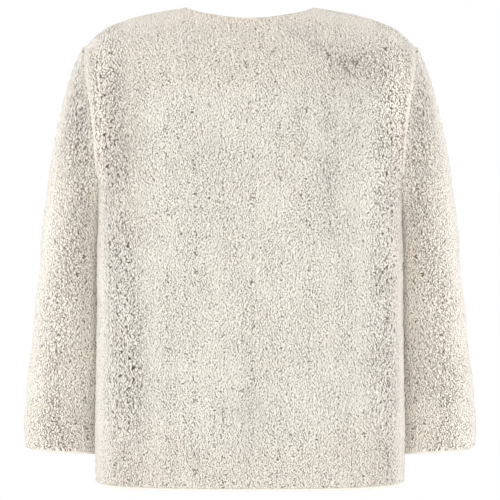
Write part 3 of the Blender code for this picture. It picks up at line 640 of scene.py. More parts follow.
def store(piece, name, values):
    """Keeps a value at each of a piece's points for its material."""
    attribute = piece.data.attributes.new(name, "FLOAT", "POINT")
    attribute.data.foreach_set("value", np.asarray(values, np.float32).ravel())


def flat_places(surface, middle):
    """Where points would lie on the cloth laid flat, in metres: across round their level, and down.

    The middle column is the one the nap follows; points at one height lie on one level line.
    """
    height = surface[..., 2]
    rising = surface[np.argsort(height[:, middle])]
    climb = np.maximum.accumulate(rising[..., 2], axis=0)
    levels = np.linspace(height.min(), height.max(), FLAT_LEVELS)
    columns = range(surface.shape[1])
    crossing = np.stack([stack(*[np.interp(levels, climb[:, column], rising[:, column, axis])
                                 for axis in (0, 1)]) for column in columns])
    lengths = walk(crossing).T
    lengths -= lengths[:, middle:middle + 1]
    along = [np.interp(height[:, column], levels, lengths[:, column]) for column in columns]
    return np.stack(along, axis=1), np.interp(height, climb[:, middle], walk(rising[:, middle]))


def lay_flat(mesh, quads, along, down, columns):
    """Stores the cloth's own lengths as a UV map, in metres; the edges take those of the pile beside."""
    corners = np.zeros(len(mesh.loops), np.int32)
    mesh.loops.foreach_get("vertex_index", corners)
    outer = np.stack([along, down], axis=-1)[:, :columns]
    inner = outer[::COARSE, ::COARSE]
    places = np.concatenate([outer.reshape(-1, 2), inner.reshape(-1, 2)])[corners]
    faces = corners[:4 * quads].reshape(-1, 4)
    column = faces % columns
    joins = (np.ptp(column, axis=1) > 1)[:, None] & (column == 0)
    places[:4 * quads].reshape(-1, 4, 2)[joins, 0] = along[faces[joins] // columns, -1]
    mesh.uv_layers.new(name="cloth").data.foreach_set("uv", places.astype(np.float32).ravel())


def sheet_size(surface, closed, nap_column):
    """Width, length and area of a panel's cut, measured over its plain form."""
    whole = wrapped(surface, closed)
    width, length = (np.ptp(places) for places in flat_places(whole, nap_column))
    sides = np.diff(whole, axis=1)[:-1], np.diff(whole, axis=0)[:, :-1]
    area = np.linalg.norm(np.cross(*sides), axis=2).sum()
    return float(width), float(length), float(area)


def edge_distances(surface, closed):
    """Distances down each column to the bound edge, and to the armhole where there is one."""
    from_first = walk(surface)
    from_last = from_first[-1] - from_first
    if closed:
        return from_last, from_first
    whole_back = surface.shape[1] > BODY_COLUMNS + 1
    stations = np.abs(np.linspace(-1 if whole_back else 0, 1, surface.shape[1]))
    bound = np.where(stations <= NECK_STATION, np.minimum(from_first, from_last), from_first)
    return bound, from_last + smooth_step(ARMHOLE_STATION, ARMHOLE_STATION - 0.03, stations)


def pile_panel(name, surface, closed, normals, side, nap_column):
    """A panel as one closed shell: dense pile outside, smoother backing inside, joined at its edges."""
    frame_points = surface - FROM_HEM
    sideways = np.abs(normals[..., 0])
    if not closed:
        sideways = sideways * (1 - smooth_step(*SHOULDER, surface[..., 2]))
    inset, seam = edge_distances(surface, closed)
    deep = sleeve_depth(frame_points) if closed else body_depth(frame_points, side)
    deep *= 1 - 0.7 * smooth_step(*SEAM_CLOSING, seam)
    height = pile_height(frame_points, deep * (1 - 0.85 * smooth_step(*SIDE_FLATTER, sideways)),
                         1 - np.abs(normals[..., 1]))
    height += PILE_LIFT + SIDE_LIFT * smooth_step(*SIDE_LIFTED, sideways)
    outer = surface + normals * height[..., None]
    inner = (surface - normals * WALL)[::COARSE, ::COARSE]
    dense = np.arange(outer[..., 0].size).reshape(outer.shape[:2])
    coarse = np.arange(inner[..., 0].size).reshape(inner.shape[:2]) + dense.size
    faces = grid_quads(dense, closed).tolist()
    backing = grid_quads(coarse, closed)[:, ::-1].tolist()
    rims = []
    edges = [[grid[0], grid[-1]] + ([] if closed else [grid[:, 0], grid[:, -1]])
             for grid in (wrapped(dense, closed), wrapped(coarse, closed))]
    for dense_line, coarse_line in zip(*edges):
        start = dense_line[:-1].reshape(-1, COARSE)
        ends = dense_line[COARSE::COARSE], coarse_line[1:], coarse_line[:-1]
        rims += np.column_stack([start, *ends]).tolist()
    points = np.concatenate([outer.reshape(-1, 3), inner.reshape(-1, 3)])
    piece = mesh_object(name, points, faces + backing + rims)
    if closed:
        painted_shading, warm = sleeve_tone(frame_points)
        # Painted shadow down the sleeve beside the armhole seam, where the body's pile overhangs it.
        painted_shading -= SLEEVE_SEAM_PAINTED_SHADOW * smooth_step(*SLEEVE_SEAM_SHADOW_REACH, seam)
        rolled_highlight = np.zeros_like(seam)
    else:
        painted_shading, warm = body_tone(frame_points, side)
        rolled_highlight = smooth_step(*BODY_ROLL, seam)
    # Less painted shade in the partings where the cloth faces sideways and would catch the side lights.
    deep *= 1 - 0.40 * smooth_step(*SIDE_PALER, sideways)
    for label, values in (("deep", deep), ("busy", busyness(frame_points, closed)),
                          ("painted_shading", painted_shading), ("warm", np.clip(warm, 0, 1.6)),
                          ("inset", np.minimum(inset, 1.0)), ("rolled_highlight", rolled_highlight)):
        store(piece, label, np.concatenate([values.ravel(), values[::COARSE, ::COARSE].ravel()]))
    mesh = piece.data
    lay_flat(mesh, len(faces), *flat_places(wrapped(surface, closed), nap_column), surface.shape[1])
    marks = np.zeros(len(mesh.polygons), np.int32)
    marks[len(faces):len(faces) + len(backing)] = 1
    mesh.polygons.foreach_set("material_index", marks)
    return piece


# ------------ materials

class Signal:
    """An output in a material's node tree; arithmetic with it adds math nodes."""

    def __init__(self, socket):
        self.socket, self.tree = socket, socket.id_data

    def maths(self, operation, other=0.0, clamp=False):
        return add(self.tree, "ShaderNodeMath", {0: self, 1: other}, operation=operation,
                   use_clamp=clamp)

    def __add__(self, other):
        return self.maths("ADD", other)

    def __sub__(self, other):
        return self.maths("SUBTRACT", other)

    def __rsub__(self, other):
        return add(self.tree, "ShaderNodeMath", {0: other, 1: self}, operation="SUBTRACT")

    def __mul__(self, other):
        return self.maths("MULTIPLY", other)

    def __abs__(self):
        return self.maths("ABSOLUTE")

    def mixed(self, other, share=1.0, blend="MIX"):
        """This colour mixed with another."""
        return add(self.tree, "ShaderNodeMix", {"Factor": share, "A": self, "B": other}, 2,
                   data_type="RGBA", blend_type=blend)


def connect(socket, value):
    """Feeds a socket from a signal, or sets it to a constant."""
    if isinstance(value, Signal):
        value.tree.links.new(value.socket, socket)
    else:
        socket.default_value = (*value, 1.0) if socket.type == "RGBA" else value


def add(tree, kind, inputs=(), output=0, **settings):
    """A new node with its settings and inputs; gives back one of its outputs."""
    node = tree.nodes.new(kind)
    for key, value in settings.items():
        setattr(node, key, value)
    for key, value in dict(inputs).items():
        connect(node.inputs[key], value)
    return Signal(node.outputs[output])


def new_material(name, colour, roughness, metallic=0.0):
    material = bpy.data.materials.new(name)
    material.use_nodes = True
    return dressed(material, {"Base Color": colour, "Roughness": roughness, "Metallic": metallic})


def dressed(material, inputs):
    """A material with inputs of its shader set or fed."""
    shader = material.node_tree.nodes["Principled BSDF"]
    for key, value in inputs.items():
        connect(shader.inputs[key], value)
    return material


def attribute(material, name):
    return add(material.node_tree, "ShaderNodeAttribute", output="Fac", attribute_name=name)


def object_place(material):
    return add(material.node_tree, "ShaderNodeTexCoord", output="Object")


def ramp(source, *stops):
    """Colour ramp from a value; stops are (place, colour)."""
    signal = add(source.tree, "ShaderNodeValToRGB", {"Fac": source}, "Color")
    elements = signal.socket.node.color_ramp.elements
    while len(elements) < len(stops):
        elements.new(0.5)
    for element, (place, colour) in zip(elements, stops):
        element.position = place
        element.color = (*colour, 1.0)
    return signal


def shift(source, start, end):
    """A value's share of the way from start to end, held between 0 and 1."""
    return add(source.tree, "ShaderNodeMapRange",
               {"Value": source, "From Min": start, "From Max": end}, "Result")


def bump(height, strength, distance):
    return add(height.tree, "ShaderNodeBump",
               {"Height": height, "Strength": strength, "Distance": distance}, "Normal")


def noise(place, scale, detail=2.0, roughness=0.6, output="Fac", dimensions="3D"):
    return add(place.tree, "ShaderNodeTexNoise",
               {"Vector": place, "Scale": scale, "Detail": detail, "Roughness": roughness},
               output, noise_dimensions=dimensions)


def flat_noise(place, width, length, seed):
    """Noise over the cloth's flat coordinates, with bumps of the given width and length in metres."""
    moved = add(place.tree, "ShaderNodeMapping",
                {"Vector": place, "Scale": (1 / width, 1 / length, 1.0),
                 "Location": (seed, 1.7 * seed, 0.0)}, "Vector")
    return noise(moved, 1.0, 0.0, 0.5, dimensions="2D")


# Rows of partings that run down the nap, painted as shade with painted highlight on the curls beside
# them.
# In metres: spacing, wander in spacings, size of the wander across and along, half width of the painted
# shade, half width at which it has faded, painted highlight beside it, size of the breaks across and
# along, share that is closed, and strength.
COARSE_PARTINGS = (0.0070, 0.85, 0.0120, 0.0068, 0.00070, 0.00114, 0.00150, 0.0046, 0.0062, 0.48, 1.00)
MEDIUM_PARTINGS = (0.0044, 0.95, 0.0080, 0.0050, 0.00030, 0.00082, 0.00090, 0.0026, 0.0030, 0.50, 1.00)
FINE_PARTINGS = (0.0050, 0.96, 0.0080, 0.0048, 0.00030, 0.00088, 0.00090, 0.0023, 0.0021, 0.505, 0.98)
FINEST_PARTINGS = (0.00340, 1.00, 0.0075, 0.0042, 0.00036, 0.00080, 0.00080, 0.0016, 0.0014, 0.505, 0.98)
MOTTLE_SIZE = (0.0024, 0.0018)
MOTTLE_DEPTH = 0.08
FIBRE_SIZE = (0.0005, 0.0012)
DRIFT_SIZE = (0.0046, 0.0032, 0.0)        # how far the pattern's rows are pushed about
DRIFT_SCALE = 30.0
WIDE_OPEN = (0.35, 0.95)          # openness over which coarse partings set in,
HALF_OPEN = (0.35, 0.65)          # and medium ones
FINE_LIGHT, COARSE_LIGHT = 0.20, 0.90     # how much painted highlight the curls get beside partings,
ROLLED_PAINTED_HIGHLIGHT = 0.20               # and the painted highlight where the cloth rolls into a seam,
ROLLED_CALM = 0.60                # which shows this much less of the painted shade in its partings
BUSY_GAIN = 3.2                   # how far busyness adds fine partings,
CALM_GAIN = 4.0                   # and how far it takes the light off the curls
STITCH_INSET = 0.0045             # from a bound edge to the row of stitches that puckers the pile, with painted shade in its gaps,
PUCKER_FADE = (0.0024, 0.0010)    # distances from that row at which the painted shade shows,
PUCKER_SIZE = (0.0046, 0.0300)
PUCKERED = (0.60, 1.00)
SOFT = (0.3, 0.7)                 # the part of a noise that is stretched to its whole range
WHITE = (1.0, 1.0, 1.0)
PILE_BASE = (0.784, 0.758, 0.678)
# The lit colour is painted highlight; the dark and deep colours are painted shade in the partings.
PILE_LIT = (0.935, 0.907, 0.828)
PILE_PAINTED_SHADE = (0.035, 0.020, 0.010)
PILE_DEEP_PAINTED_SHADE = (0.040, 0.023, 0.011)
PINK = (1.0, 0.957, 0.955)        # times the colour where the pile is warm
ROSY = (1.0, 0.912, 0.870)        # and where it is warmest


def partings(place, across, rows, seed, more=None):
    """Broken lines of painted shade down the nap, and painted highlight on the curls on either side of
    them.
    """
    spacing, wander, wide, long, core, faded, lit, break_wide, break_long, closed, strength = rows
    cycles = across * (1 / spacing) + flat_noise(place, wide, long, seed) * (2 * wander)
    off = abs(cycles.maths("FRACT") - 0.5)
    here = shift(flat_noise(place, break_wide, break_long, 0.3 * seed), closed - 0.05, closed + 0.05)
    if more is not None:
        here = here * (more * BUSY_GAIN + 1.0)
    here = here.maths("MULTIPLY", strength, clamp=True)
    return (shift(off, faded / spacing, core / spacing) * here,
            shift(off, (faded + lit) / spacing, faded / spacing) * here)


def pile_material():
    """Curled pile: painted shade in short partings down the nap, painted highlight on the curls beside
    them, and finer partings painted alike.
    """
    material = new_material("pile_fleece", (0.78, 0.73, 0.65), 0.95)
    deep, busy, painted_shading, warm, inset, rolled_highlight = (
        attribute(material, name) for name in ("deep", "busy", "painted_shading", "warm", "inset", "rolled_highlight"))
    flat = add(material.node_tree, "ShaderNodeUVMap", output="UV", uv_map="cloth")
    drift = noise(flat, DRIFT_SCALE, 1.0, 0.5, "Color", "2D")
    place = add(flat.tree, "ShaderNodeVectorMath", {0: drift, 1: DRIFT_SIZE, 2: flat}, "Vector",
                operation="MULTIPLY_ADD")
    across = add(flat.tree, "ShaderNodeSeparateXYZ", {"Vector": place}, "X")

    coarse, coarse_lit = partings(place, across, COARSE_PARTINGS, 43.1)
    medium, medium_lit = partings(place, across, MEDIUM_PARTINGS, 71.9)
    fine, fine_lit = partings(place, across, FINE_PARTINGS, 3.3, busy)
    finest, finest_lit = partings(place, across, FINEST_PARTINGS, 13.7, busy)
    wide_open, half_open = shift(deep, *WIDE_OPEN), shift(deep, *HALF_OPEN)
    coarse = (coarse * wide_open).maths("MAXIMUM", medium * half_open)
    coarse_lit = (coarse_lit * wide_open).maths("MAXIMUM", medium_lit * half_open)
    fine_lit = fine_lit.maths("MAXIMUM", finest_lit) * FINE_LIGHT
    lit = fine_lit.maths("MAXIMUM", coarse_lit * COARSE_LIGHT)
    lit = lit.maths("MULTIPLY", 1.0 - busy * CALM_GAIN, clamp=True)

    mottle = shift(flat_noise(place, *MOTTLE_SIZE, 31.0), *SOFT)
    colour = ramp(mottle, (0.0, (1 - MOTTLE_DEPTH,) * 3), (1.0, WHITE))
    colour = colour.mixed(PILE_BASE, blend="MULTIPLY").mixed(PILE_LIT, lit)
    # Painted highlight along a body seam where the cloth rolls over.
    colour = colour.mixed(PILE_LIT, rolled_highlight * ROLLED_PAINTED_HIGHLIGHT)
    stitch_row = shift(abs(inset - STITCH_INSET), *PUCKER_FADE)
    pucker_shade = stitch_row * shift(flat_noise(place, *PUCKER_SIZE, 57.0), *PUCKERED)
    less_rolled = 1.0 - rolled_highlight * ROLLED_CALM
    # Painted shade in the partings and at the puckered stitch row, less where a seam has its painted
    # highlight.
    for dark, shade in ((finest, PILE_PAINTED_SHADE), (fine, PILE_PAINTED_SHADE), (coarse, PILE_DEEP_PAINTED_SHADE),
                        (pucker_shade, PILE_PAINTED_SHADE)):
        colour = colour.mixed(shade, dark * less_rolled)
    tint = ramp(warm * 0.5, (0.0, WHITE), (0.5, PINK), (1.0, ROSY))
    fibres = shift(flat_noise(place, *FIBRE_SIZE, 91.0), *SOFT)
    # The painted light and shade, with random fibres, scales the colour.
    toned = add(flat.tree, "ShaderNodeVectorMath",
                {0: colour.mixed(tint, blend="MULTIPLY"), "Scale": painted_shading * (fibres * 0.18 + 0.91)},
                "Vector", operation="SCALE")
    height = fibres * 0.22 - (fine * 0.7 + finest * 0.5 + coarse)
    return dressed(material, {
        "Base Color": toned, "Normal": bump(height, 0.5, 0.001), "Sheen Weight": 1.0,
        "Sheen Roughness": 0.5, "Sheen Tint": (1.0, 0.970, 0.915), "Specular IOR Level": 0.12})


RIB_PITCH = 0.0016                # of the knitted bindings
TWILL_PITCH = (0.0012, 0.0016)    # of the woven tapes, along and across


def backing_material():
    """Brushed knit: fine wales down the garment."""
    material = new_material("fleece_backing", (0.70, 0.66, 0.58), 0.95)
    place = object_place(material)
    wale, course = (add(place.tree, "ShaderNodeTexWave",
                        {"Vector": place, "Scale": scale, "Distortion": distortion}, "Fac",
                        bands_direction=direction)
                    for direction, scale, distortion in (("X", 190.0, 1.2), ("Z", 230.0, 1.5)))
    knit = wale * course
    fuzz = noise(place, 260.0, 3.0)
    colour = ramp(fuzz, (0.3, (0.66, 0.61, 0.53)), (0.7, (0.75, 0.71, 0.63)))
    shade = ramp(knit, (0.0, (0.86, 0.86, 0.86)), (0.8, WHITE))
    return dressed(material, {
        "Base Color": colour.mixed(shade, blend="MULTIPLY"),
        "Normal": bump(knit + fuzz * 0.8, 0.4, 0.0005),
        "Sheen Weight": 0.2, "Specular IOR Level": 0.15})


def edge_material():
    """Knitted binding: fine ribs across the strip."""
    material = new_material("binding", (0.80, 0.76, 0.69), 0.85)
    rib = (attribute(material, "run") * (2 * math.pi / RIB_PITCH)).maths("SINE")
    fuzz = noise(object_place(material), 700.0)
    return dressed(material, {
        "Base Color": ramp(fuzz, (0.3, (0.74, 0.70, 0.63)), (0.7, (0.85, 0.815, 0.745))),
        "Normal": bump(rib * 0.3 + fuzz, 0.4, 0.0004),
        "Sheen Weight": 0.5, "Specular IOR Level": 0.2})


def tape_material():
    """Woven zip tape: fine twill."""
    material = new_material("zip_tape", (0.76, 0.73, 0.66), 0.75)
    place = object_place(material)
    across = abs(add(place.tree, "ShaderNodeSeparateXYZ", {"Vector": place}, "X"))
    along_turns, across_turns = (2 * math.pi / pitch for pitch in TWILL_PITCH)
    slant = attribute(material, "run") * along_turns + across * across_turns
    weave = slant.maths("SINE")
    return dressed(material, {
        "Base Color": ramp(weave * 0.25 + 0.5, (0.1, (0.66, 0.63, 0.56)), (0.6, (0.80, 0.775, 0.71))),
        "Normal": bump(weave + noise(place, 900.0) * 0.5, 0.35, 0.0002)})


def tooth_material():
    """Moulded teeth, a little glossy, with faint unevenness."""
    material = new_material("zip_teeth", (0.78, 0.75, 0.68), 0.38)
    spots = noise(object_place(material), 160.0, roughness=0.5)
    return dressed(material, {
        "Base Color": ramp(spots, (0.3, (0.74, 0.71, 0.64)), (0.7, (0.81, 0.78, 0.71))),
        "Roughness": spots * 0.2 + 0.28})


def metal_material():
    """Plated zinc of the slider, pull and box, with brushed unevenness."""
    material = new_material("zip_metal", (0.66, 0.64, 0.60), 0.3, 1.0)
    place = object_place(material)
    brushed = add(place.tree, "ShaderNodeMapping", {"Vector": place, "Scale": (1.0, 1.0, 0.08)},
                  "Vector")
    lines = noise(brushed, 2600.0)
    wear = noise(place, 420.0, 3.0)
    return dressed(material, {
        "Base Color": ramp(wear, (0.3, (0.61, 0.59, 0.55)), (0.65, (0.71, 0.69, 0.65))),
        "Roughness": lines * 0.25 + 0.18, "Normal": bump(lines, 0.12, 0.0001)})


# ------------ bindings, zip and stitches

def chain_edges(*parts):
    """Joins edges end to end; each part is edge, row inside it and normals. Shared ends are averaged."""
    joined = parts[0]
    for part in parts[1:]:
        shared = (joined[:, -1:] + part[:, :1]) / 2
        joined = np.concatenate([joined[:, :-1], shared, part[:, 1:]], axis=1)
    edge, inside, normals = joined
    return edge, inside, unit(normals)


def edge_directions(edge, inside, normals, closed):
    """Unit directions that carry a surface on past its edge, square to the edge."""
    if closed:
        along = np.roll(edge, -1, axis=0) - np.roll(edge, 1, axis=0)
    else:
        along = np.gradient(edge, axis=0)
    directions = unit(np.cross(along, normals))
    return directions * np.sign(((edge - inside) * directions).sum())


def ring_strip(name, rings, runs, closed):
    """A strip through rings of points, which keeps each ring's distance along it for its weave."""
    count, around = rings.shape[:2]
    numbers = np.arange(count * around).reshape(count, around)
    looped = np.concatenate([numbers, numbers[:1]]) if closed else numbers
    faces = grid_quads(looped, True).tolist()
    if not closed:
        faces += [numbers[0].tolist(), numbers[-1].tolist()]
    piece = mesh_object(name, rings.reshape(-1, 3), faces)
    store(piece, "run", np.repeat(runs, around))
    return piece


def repeated(name, form, places, axes, smooth=True):
    """Copies of a small form of points and faces in one mesh; axes are the form's own at each place."""
    points, faces = form
    copies = places[:, None] + sum(axis[:, None] * points[:, number:number + 1]
                                   for number, axis in enumerate(axes))
    numbers = [[corner + len(points) * copy for corner in face]
               for copy in range(len(places)) for face in faces]
    return mesh_object(name, copies.reshape(-1, 3), numbers, smooth)


def values_at(distances, lengths, line):
    """Points of a line, or its normals, at distances along it."""
    return stack(*[np.interp(distances, lengths, line[:, axis]) for axis in (0, 1, 2)])


def folded_profile(width, depth, thickness, steps=7):
    """Outline of a strip folded in two over an edge: a U that is open where it is sewn on."""
    def bend(half, reach):
        turns = np.linspace(0, math.pi, steps + 1)
        arc = stack(half * np.cos(turns), reach - half + half * np.sin(turns))
        return np.concatenate([[(half, 0.0)], arc, [(-half, 0.0)]])

    inner = bend(width / 2 - thickness, depth - thickness)
    return np.concatenate([bend(width / 2, depth), inner[::-1]])


def binding(name, edge, normals, directions, closed):
    middle = edge - normals * WALL / 2 + directions * TAPE_GAP
    profile = folded_profile(WALL * (1 - 2 * BINDING_SKIN), BINDING_DEPTH, BINDING_THICKNESS)
    rings = (middle[:, None] + normals[:, None] * profile[:, :1]
             + directions[:, None] * profile[:, 1:])
    return ring_strip(name, rings, walk(middle), closed)


STITCH_PITCH = 0.0028
STITCH_SIZE = (0.0020, 0.00045, 0.00036)     # along the seam, across it and proud of the binding
STITCH_RISE = 0.0012                         # above the binding's sewn edges
# Outline across a stitch, in half widths and heights, and how much slimmer, flatter and lower it ends.
STITCH_SECTION = ((-1.0, -0.3), (-0.8, 0.6), (0.0, 1.0), (0.8, 0.6), (1.0, -0.3))
STITCH_ENDS = (0.4, 0.7, 0.2)


def stitches(name, edge, normals, directions):
    """Short rounded bars of thread in a row down both faces of a binding."""
    lengths = walk(edge)
    distances = np.arange(STITCH_PITCH, lengths[-1] - STITCH_PITCH, STITCH_PITCH)
    proud, rise = (values_at(distances, lengths, values) for values in (normals, directions))
    along = unit(np.cross(proud, rise))
    middle = (values_at(distances, lengths, edge) - proud * WALL / 2
              + rise * (TAPE_GAP + STITCH_RISE))
    slimmer, flatter, lower = STITCH_ENDS
    bar = np.array([(end, (1 - slimmer * abs(end)) * side,
                     (1 - flatter * abs(end)) * lift - lower * abs(end))
                    for end in (-1, 0, 1) for side, lift in STITCH_SECTION])
    bar *= (STITCH_SIZE[0] / 2, STITCH_SIZE[1] / 2, STITCH_SIZE[2])
    numbers = np.arange(len(bar)).reshape(3, -1)
    faces = [numbers[0].tolist(), numbers[-1].tolist()] + grid_quads(numbers, True).tolist()
    both = np.repeat([1, -1], len(distances))[:, None]
    middle, proud, rise, along = (np.tile(values, (2, 1)) for values in (middle, proud, rise, along))
    places = middle + proud * both * (WALL / 2 - WALL * BINDING_SKIN)
    return repeated(name, (bar, faces), places, (along, rise, both * proud))


# ------------ build

PILE = pile_material()
BACKING = backing_material()
EDGE = edge_material()
TAPE = tape_material()
TOOTH = tooth_material()
METAL = metal_material()

neck_reach = round(NECK_STATION * BODY_COLUMNS)
surfaces = {
    "back": (back_surface(), False, BODY_COLUMNS + neck_reach),
    "front_left": (front_surface(1), False, neck_reach),
    "front_right": (front_surface(-1), False, neck_reach),
    "sleeve_left": (sleeve_surface(1), True, SLEEVE_COLUMNS // 2),
    "sleeve_right": (sleeve_surface(-1), True, SLEEVE_COLUMNS // 2),
}
panel_normals = {node: outward_normals(surface, closed)
                 for node, (surface, closed, _) in surfaces.items()}
for node, (surface, closed, nap_column) in surfaces.items():
    piece = pile_panel("pile_" + node, surface, closed, panel_normals[node],
                       1 if node == "back" else -1, nap_column)
    piece.data.materials.append(PILE)
    piece.data.materials.append(BACKING)
    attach(piece, "jacket")
    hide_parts(node)
    width, length, area = sheet_size(surface, closed, nap_column)


def edge_part(node, row, columns=slice(None), backwards=False):
    """One panel's share of a bound edge: the edge, the row inside it and the edge's normals."""
    surface = surfaces[node][0]
    inside_row = row + (1 if row == 0 else -1)
    part = np.stack([surface[row, columns], surface[inside_row, columns],
                     panel_normals[node][row, columns]])
    return part[:, ::-1] if backwards else part


def body_chain(row, reach):
    """A body edge from the zip round the back to the zip, this many columns from each middle."""
    front, behind = slice(0, reach + 1), slice(BODY_COLUMNS - reach, BODY_COLUMNS + reach + 1)
    return chain_edges(edge_part("front_left", row, front), edge_part("back", row, behind, True),
                       edge_part("front_right", row, front, True))


body_panels = ("pile_back", "pile_front_left", "pile_front_right")
for node, chain, closed, bound in (
        ("hem_binding", body_chain(0, BODY_COLUMNS), False, body_panels),
        ("neck_binding", body_chain(-1, neck_reach), False, body_panels),
        ("cuff_binding_left", edge_part("sleeve_left", -1), True, ("pile_sleeve_left",)),
        ("cuff_binding_right", edge_part("sleeve_right", -1), True, ("pile_sleeve_right",))):
    edge, inside, normals = chain
    directions = edge_directions(edge, inside, normals, closed)
    piece = binding("folded_" + node, edge, normals, directions, closed)
    thread = stitches("stitches_" + node, edge, normals, directions)
    for part in (piece, thread):
        part.data.materials.append(EDGE)
        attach(part, "jacket")
    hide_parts(node)
    ends = np.concatenate([edge, edge[:1]]) if closed else edge
    float(walk(ends)[-1])
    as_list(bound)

# Zip: a line down the inside of the fronts' edges, then tapes, teeth, box and slider on it.
zip_line = (surfaces["front_left"][0] - panel_normals["front_left"] * WALL)[::-1, 0]
zip_lengths = walk(zip_line)
SLIDER_DROP = 0.0130
BOX_DROP = 0.0080
TAPES_CLOSED = 0.0002     # half the gap between the tapes below the slider,
TAPES_OPEN = 0.0028       # and how much more it is at the top
SLOPE_REACH = 0.004       # distance each way over which the zip's slope is taken
zip_length = zip_lengths[-1] - BOX_DROP - PANEL_FOOT


def zip_place(distance):
    """Middle of the tapes, up along the zip and outward from it, at distances down from its top."""
    spot, above, below = (values_at(distance + step, zip_lengths, zip_line)
                          for step in (0.0, -SLOPE_REACH, SLOPE_REACH))
    upright = (0.0, 1.0, 1.0)
    up = unit((above - below) * upright)
    outward = np.cross((1.0, 0.0, 0.0), up)
    outward *= -np.sign(outward[..., 1:2])
    return (spot - outward * (TAPE_GAP + TAPE_THICKNESS / 2)) * upright, up, outward


def tape_gap(distance):
    """Half the gap between the tapes: open above the slider, closed below it."""
    return TAPES_CLOSED + TAPES_OPEN * (1 - smooth_step(0.0, SLIDER_DROP - 0.0010, distance))


TAPE_TOP = 0.0002         # from the zip's top to the tapes' ends
TAPE_STEPS = 300
# One face of a tape, with a cord at the teeth: share of its width, and height in half thicknesses.
TAPE_FACE = ((0.0, 0.81), (0.06, 1.12), (0.11, 0.72), (0.30, 0.56), (0.97, 0.56))
TAPE_OUTLINE = [*((share, -lift) for share, lift in TAPE_FACE), (1.0, 0.0), *TAPE_FACE[::-1]]


def zip_tape(name, mirror):
    """A woven tape down one side of the zip."""
    runs = np.linspace(TAPE_TOP, zip_length, TAPE_STEPS)
    spot, _, outward = zip_place(runs)
    across = np.array([mirror, 0.0, 0.0])
    gap = tape_gap(runs)
    rings = np.stack([spot + across * (gap + (TAPE_REACH - gap) * share)[:, None]
                      + outward * TAPE_THICKNESS / 2 * lift for share, lift in TAPE_OUTLINE], axis=1)
    return ring_strip(name, rings, runs, False)


TOOTH_PITCH = 0.0024
TOOTH_START = 0.0022      # from the zip's top to its first tooth
TOOTH_END = 0.0015        # from the last tooth to the box
TOOTH_STANDOFF = 0.0009   # from the tape's edge to a tooth's middle
TOOTH_NECK = 0.8          # share of a tooth's height where it meets the other row
TOOTH_ROUNDING = 0.00028
TOOTH_SIZE = (0.0040, 0.0013, 0.0025)     # across, along and through the chain


def tooth_form():
    """One moulded tooth: a rounded block with a narrower neck, its root at the tape."""
    build = bmesh.new()
    bmesh.ops.create_cube(build, size=1.0)
    for vertex in build.verts:
        narrowed = 1.0 if vertex.co.x < 0 else TOOTH_NECK
        vertex.co *= Vector(TOOTH_SIZE) * Vector((1.0, narrowed, 1.0))
    bmesh.ops.bevel(build, geom=list(build.edges), offset=TOOTH_ROUNDING, segments=1, affect="EDGES")
    points = np.array([vertex.co[:] for vertex in build.verts])
    build.verts.ensure_lookup_table()
    faces = [[vertex.index for vertex in face.verts] for face in build.faces]
    build.free()
    return points, faces


def zip_teeth(name, mirror, start):
    """The row of teeth on one tape, all in one mesh."""
    distances = np.arange(TOOTH_START + start, zip_length - TOOTH_END, TOOTH_PITCH)
    spot, up, outward = zip_place(distances)
    sideways = np.array([[mirror, 0.0, 0.0]])
    centres = spot + sideways * (tape_gap(distances) + TOOTH_STANDOFF)[:, None]
    return repeated(name, tooth_form(), centres, (-sideways, up, outward), smooth=False)


for side, mirror, start in (("left", 1, 0.0), ("right", -1, TOOTH_PITCH / 2)):
    tape = zip_tape("woven_zip_tape_" + side, mirror)
    tape.data.materials.append(TAPE)
    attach(tape, "jacket")
    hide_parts("zip_tape_" + side)
    teeth = zip_teeth("zip_teeth_" + side, mirror, start)
    teeth.data.materials.append(TOOTH)
    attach(teeth, "jacket")

for node, finish in (("zip_slider", METAL), ("zip_pull_tab", METAL), ("zip_box", TOOTH)):
    for material_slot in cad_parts[node].material_slots:
        material_slot.link = "OBJECT"
        material_slot.material = finish

# ------------ studio

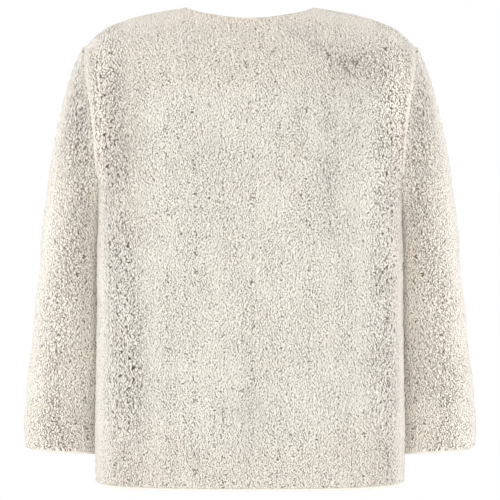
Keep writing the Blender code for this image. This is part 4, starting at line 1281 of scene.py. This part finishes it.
CAMERA_DISTANCE = 3.55
CAMERA_HEIGHT = -0.3505
FLOOR_HEIGHT = -1.85
FLOOR_RADIUS = 4.5
SKY_STRENGTH = 0.30       # of the light that comes from all round
camera_data = bpy.data.cameras.new("camera")
camera_data.sensor_width = 36.0
camera_data.lens = 176.09
camera_data.clip_end = 100.0
camera = placed("camera", camera_data)
camera.location = (0.0, CAMERA_DISTANCE, CAMERA_HEIGHT)
camera.rotation_euler = (math.radians(90), 0, math.radians(180))
scene.camera = camera
scene.view_settings.view_transform = "Standard"

# The world lights the jacket softly, and is seen as white.
world = bpy.data.worlds.new("studio")
world.use_nodes = True
scene.world = world
sky = world.node_tree
background = sky.nodes["Background"]
connect(background.inputs["Color"], WHITE)
connect(background.inputs["Strength"], SKY_STRENGTH)
seen = add(sky, "ShaderNodeBackground", {"Color": WHITE, "Strength": 1.0})
ray = add(sky, "ShaderNodeLightPath", output="Is Camera Ray")
both = add(sky, "ShaderNodeMixShader", {"Fac": ray, 1: Signal(background.outputs[0]), 2: seen})
connect(sky.nodes["World Output"].inputs["Surface"], both)


def area_light(name, place, size, energy, target=(0.0, 0.0, -0.35)):
    light = bpy.data.lights.new(name, "AREA")
    light.shape = "RECTANGLE"
    light.size, light.size_y = size
    light.energy = energy
    lamp = placed(name, light)
    lamp.location = place
    lamp.rotation_euler = (Vector(target) - Vector(place)).to_track_quat("-Z", "Y").to_euler()
    lamp.visible_camera = False


area_light("front", (0.0, 3.6, -0.1), (2.2, 1.6), 47.5)
area_light("key", (0.3, 3.0, 1.0), (2.0, 1.6), 12.5)
area_light("low", (0.0, 2.8, -1.3), (2.0, 1.0), 18.0)
for name, sign in (("left", 1), ("right", -1)):
    area_light("side_" + name, (sign * 2.1, 0.9, -0.3), (0.7, 1.5), 11.5)
    area_light("rim_" + name, (sign * 2.2, -0.7, -0.3), (0.7, 1.5), 21.0)
area_light("over", (0.0, 0.2, 2.2), (2.0, 1.2), 34.5, target=(0.0, 0.0, -0.1))
area_light("wearer_side", (0.0, -2.8, 0.5), (2.0, 1.6), 40.0)

floor_mesh = bpy.data.meshes.new("floor")
floor_build = bmesh.new()
bmesh.ops.create_circle(floor_build, cap_ends=True, segments=96, radius=FLOOR_RADIUS)
floor_build.to_mesh(floor_mesh)
floor_build.free()
floor = placed("floor", floor_mesh)
floor.location = (0, 0, FLOOR_HEIGHT)
floor_mesh.materials.append(new_material("floor_paint", (0.86, 0.86, 0.85), 0.9))
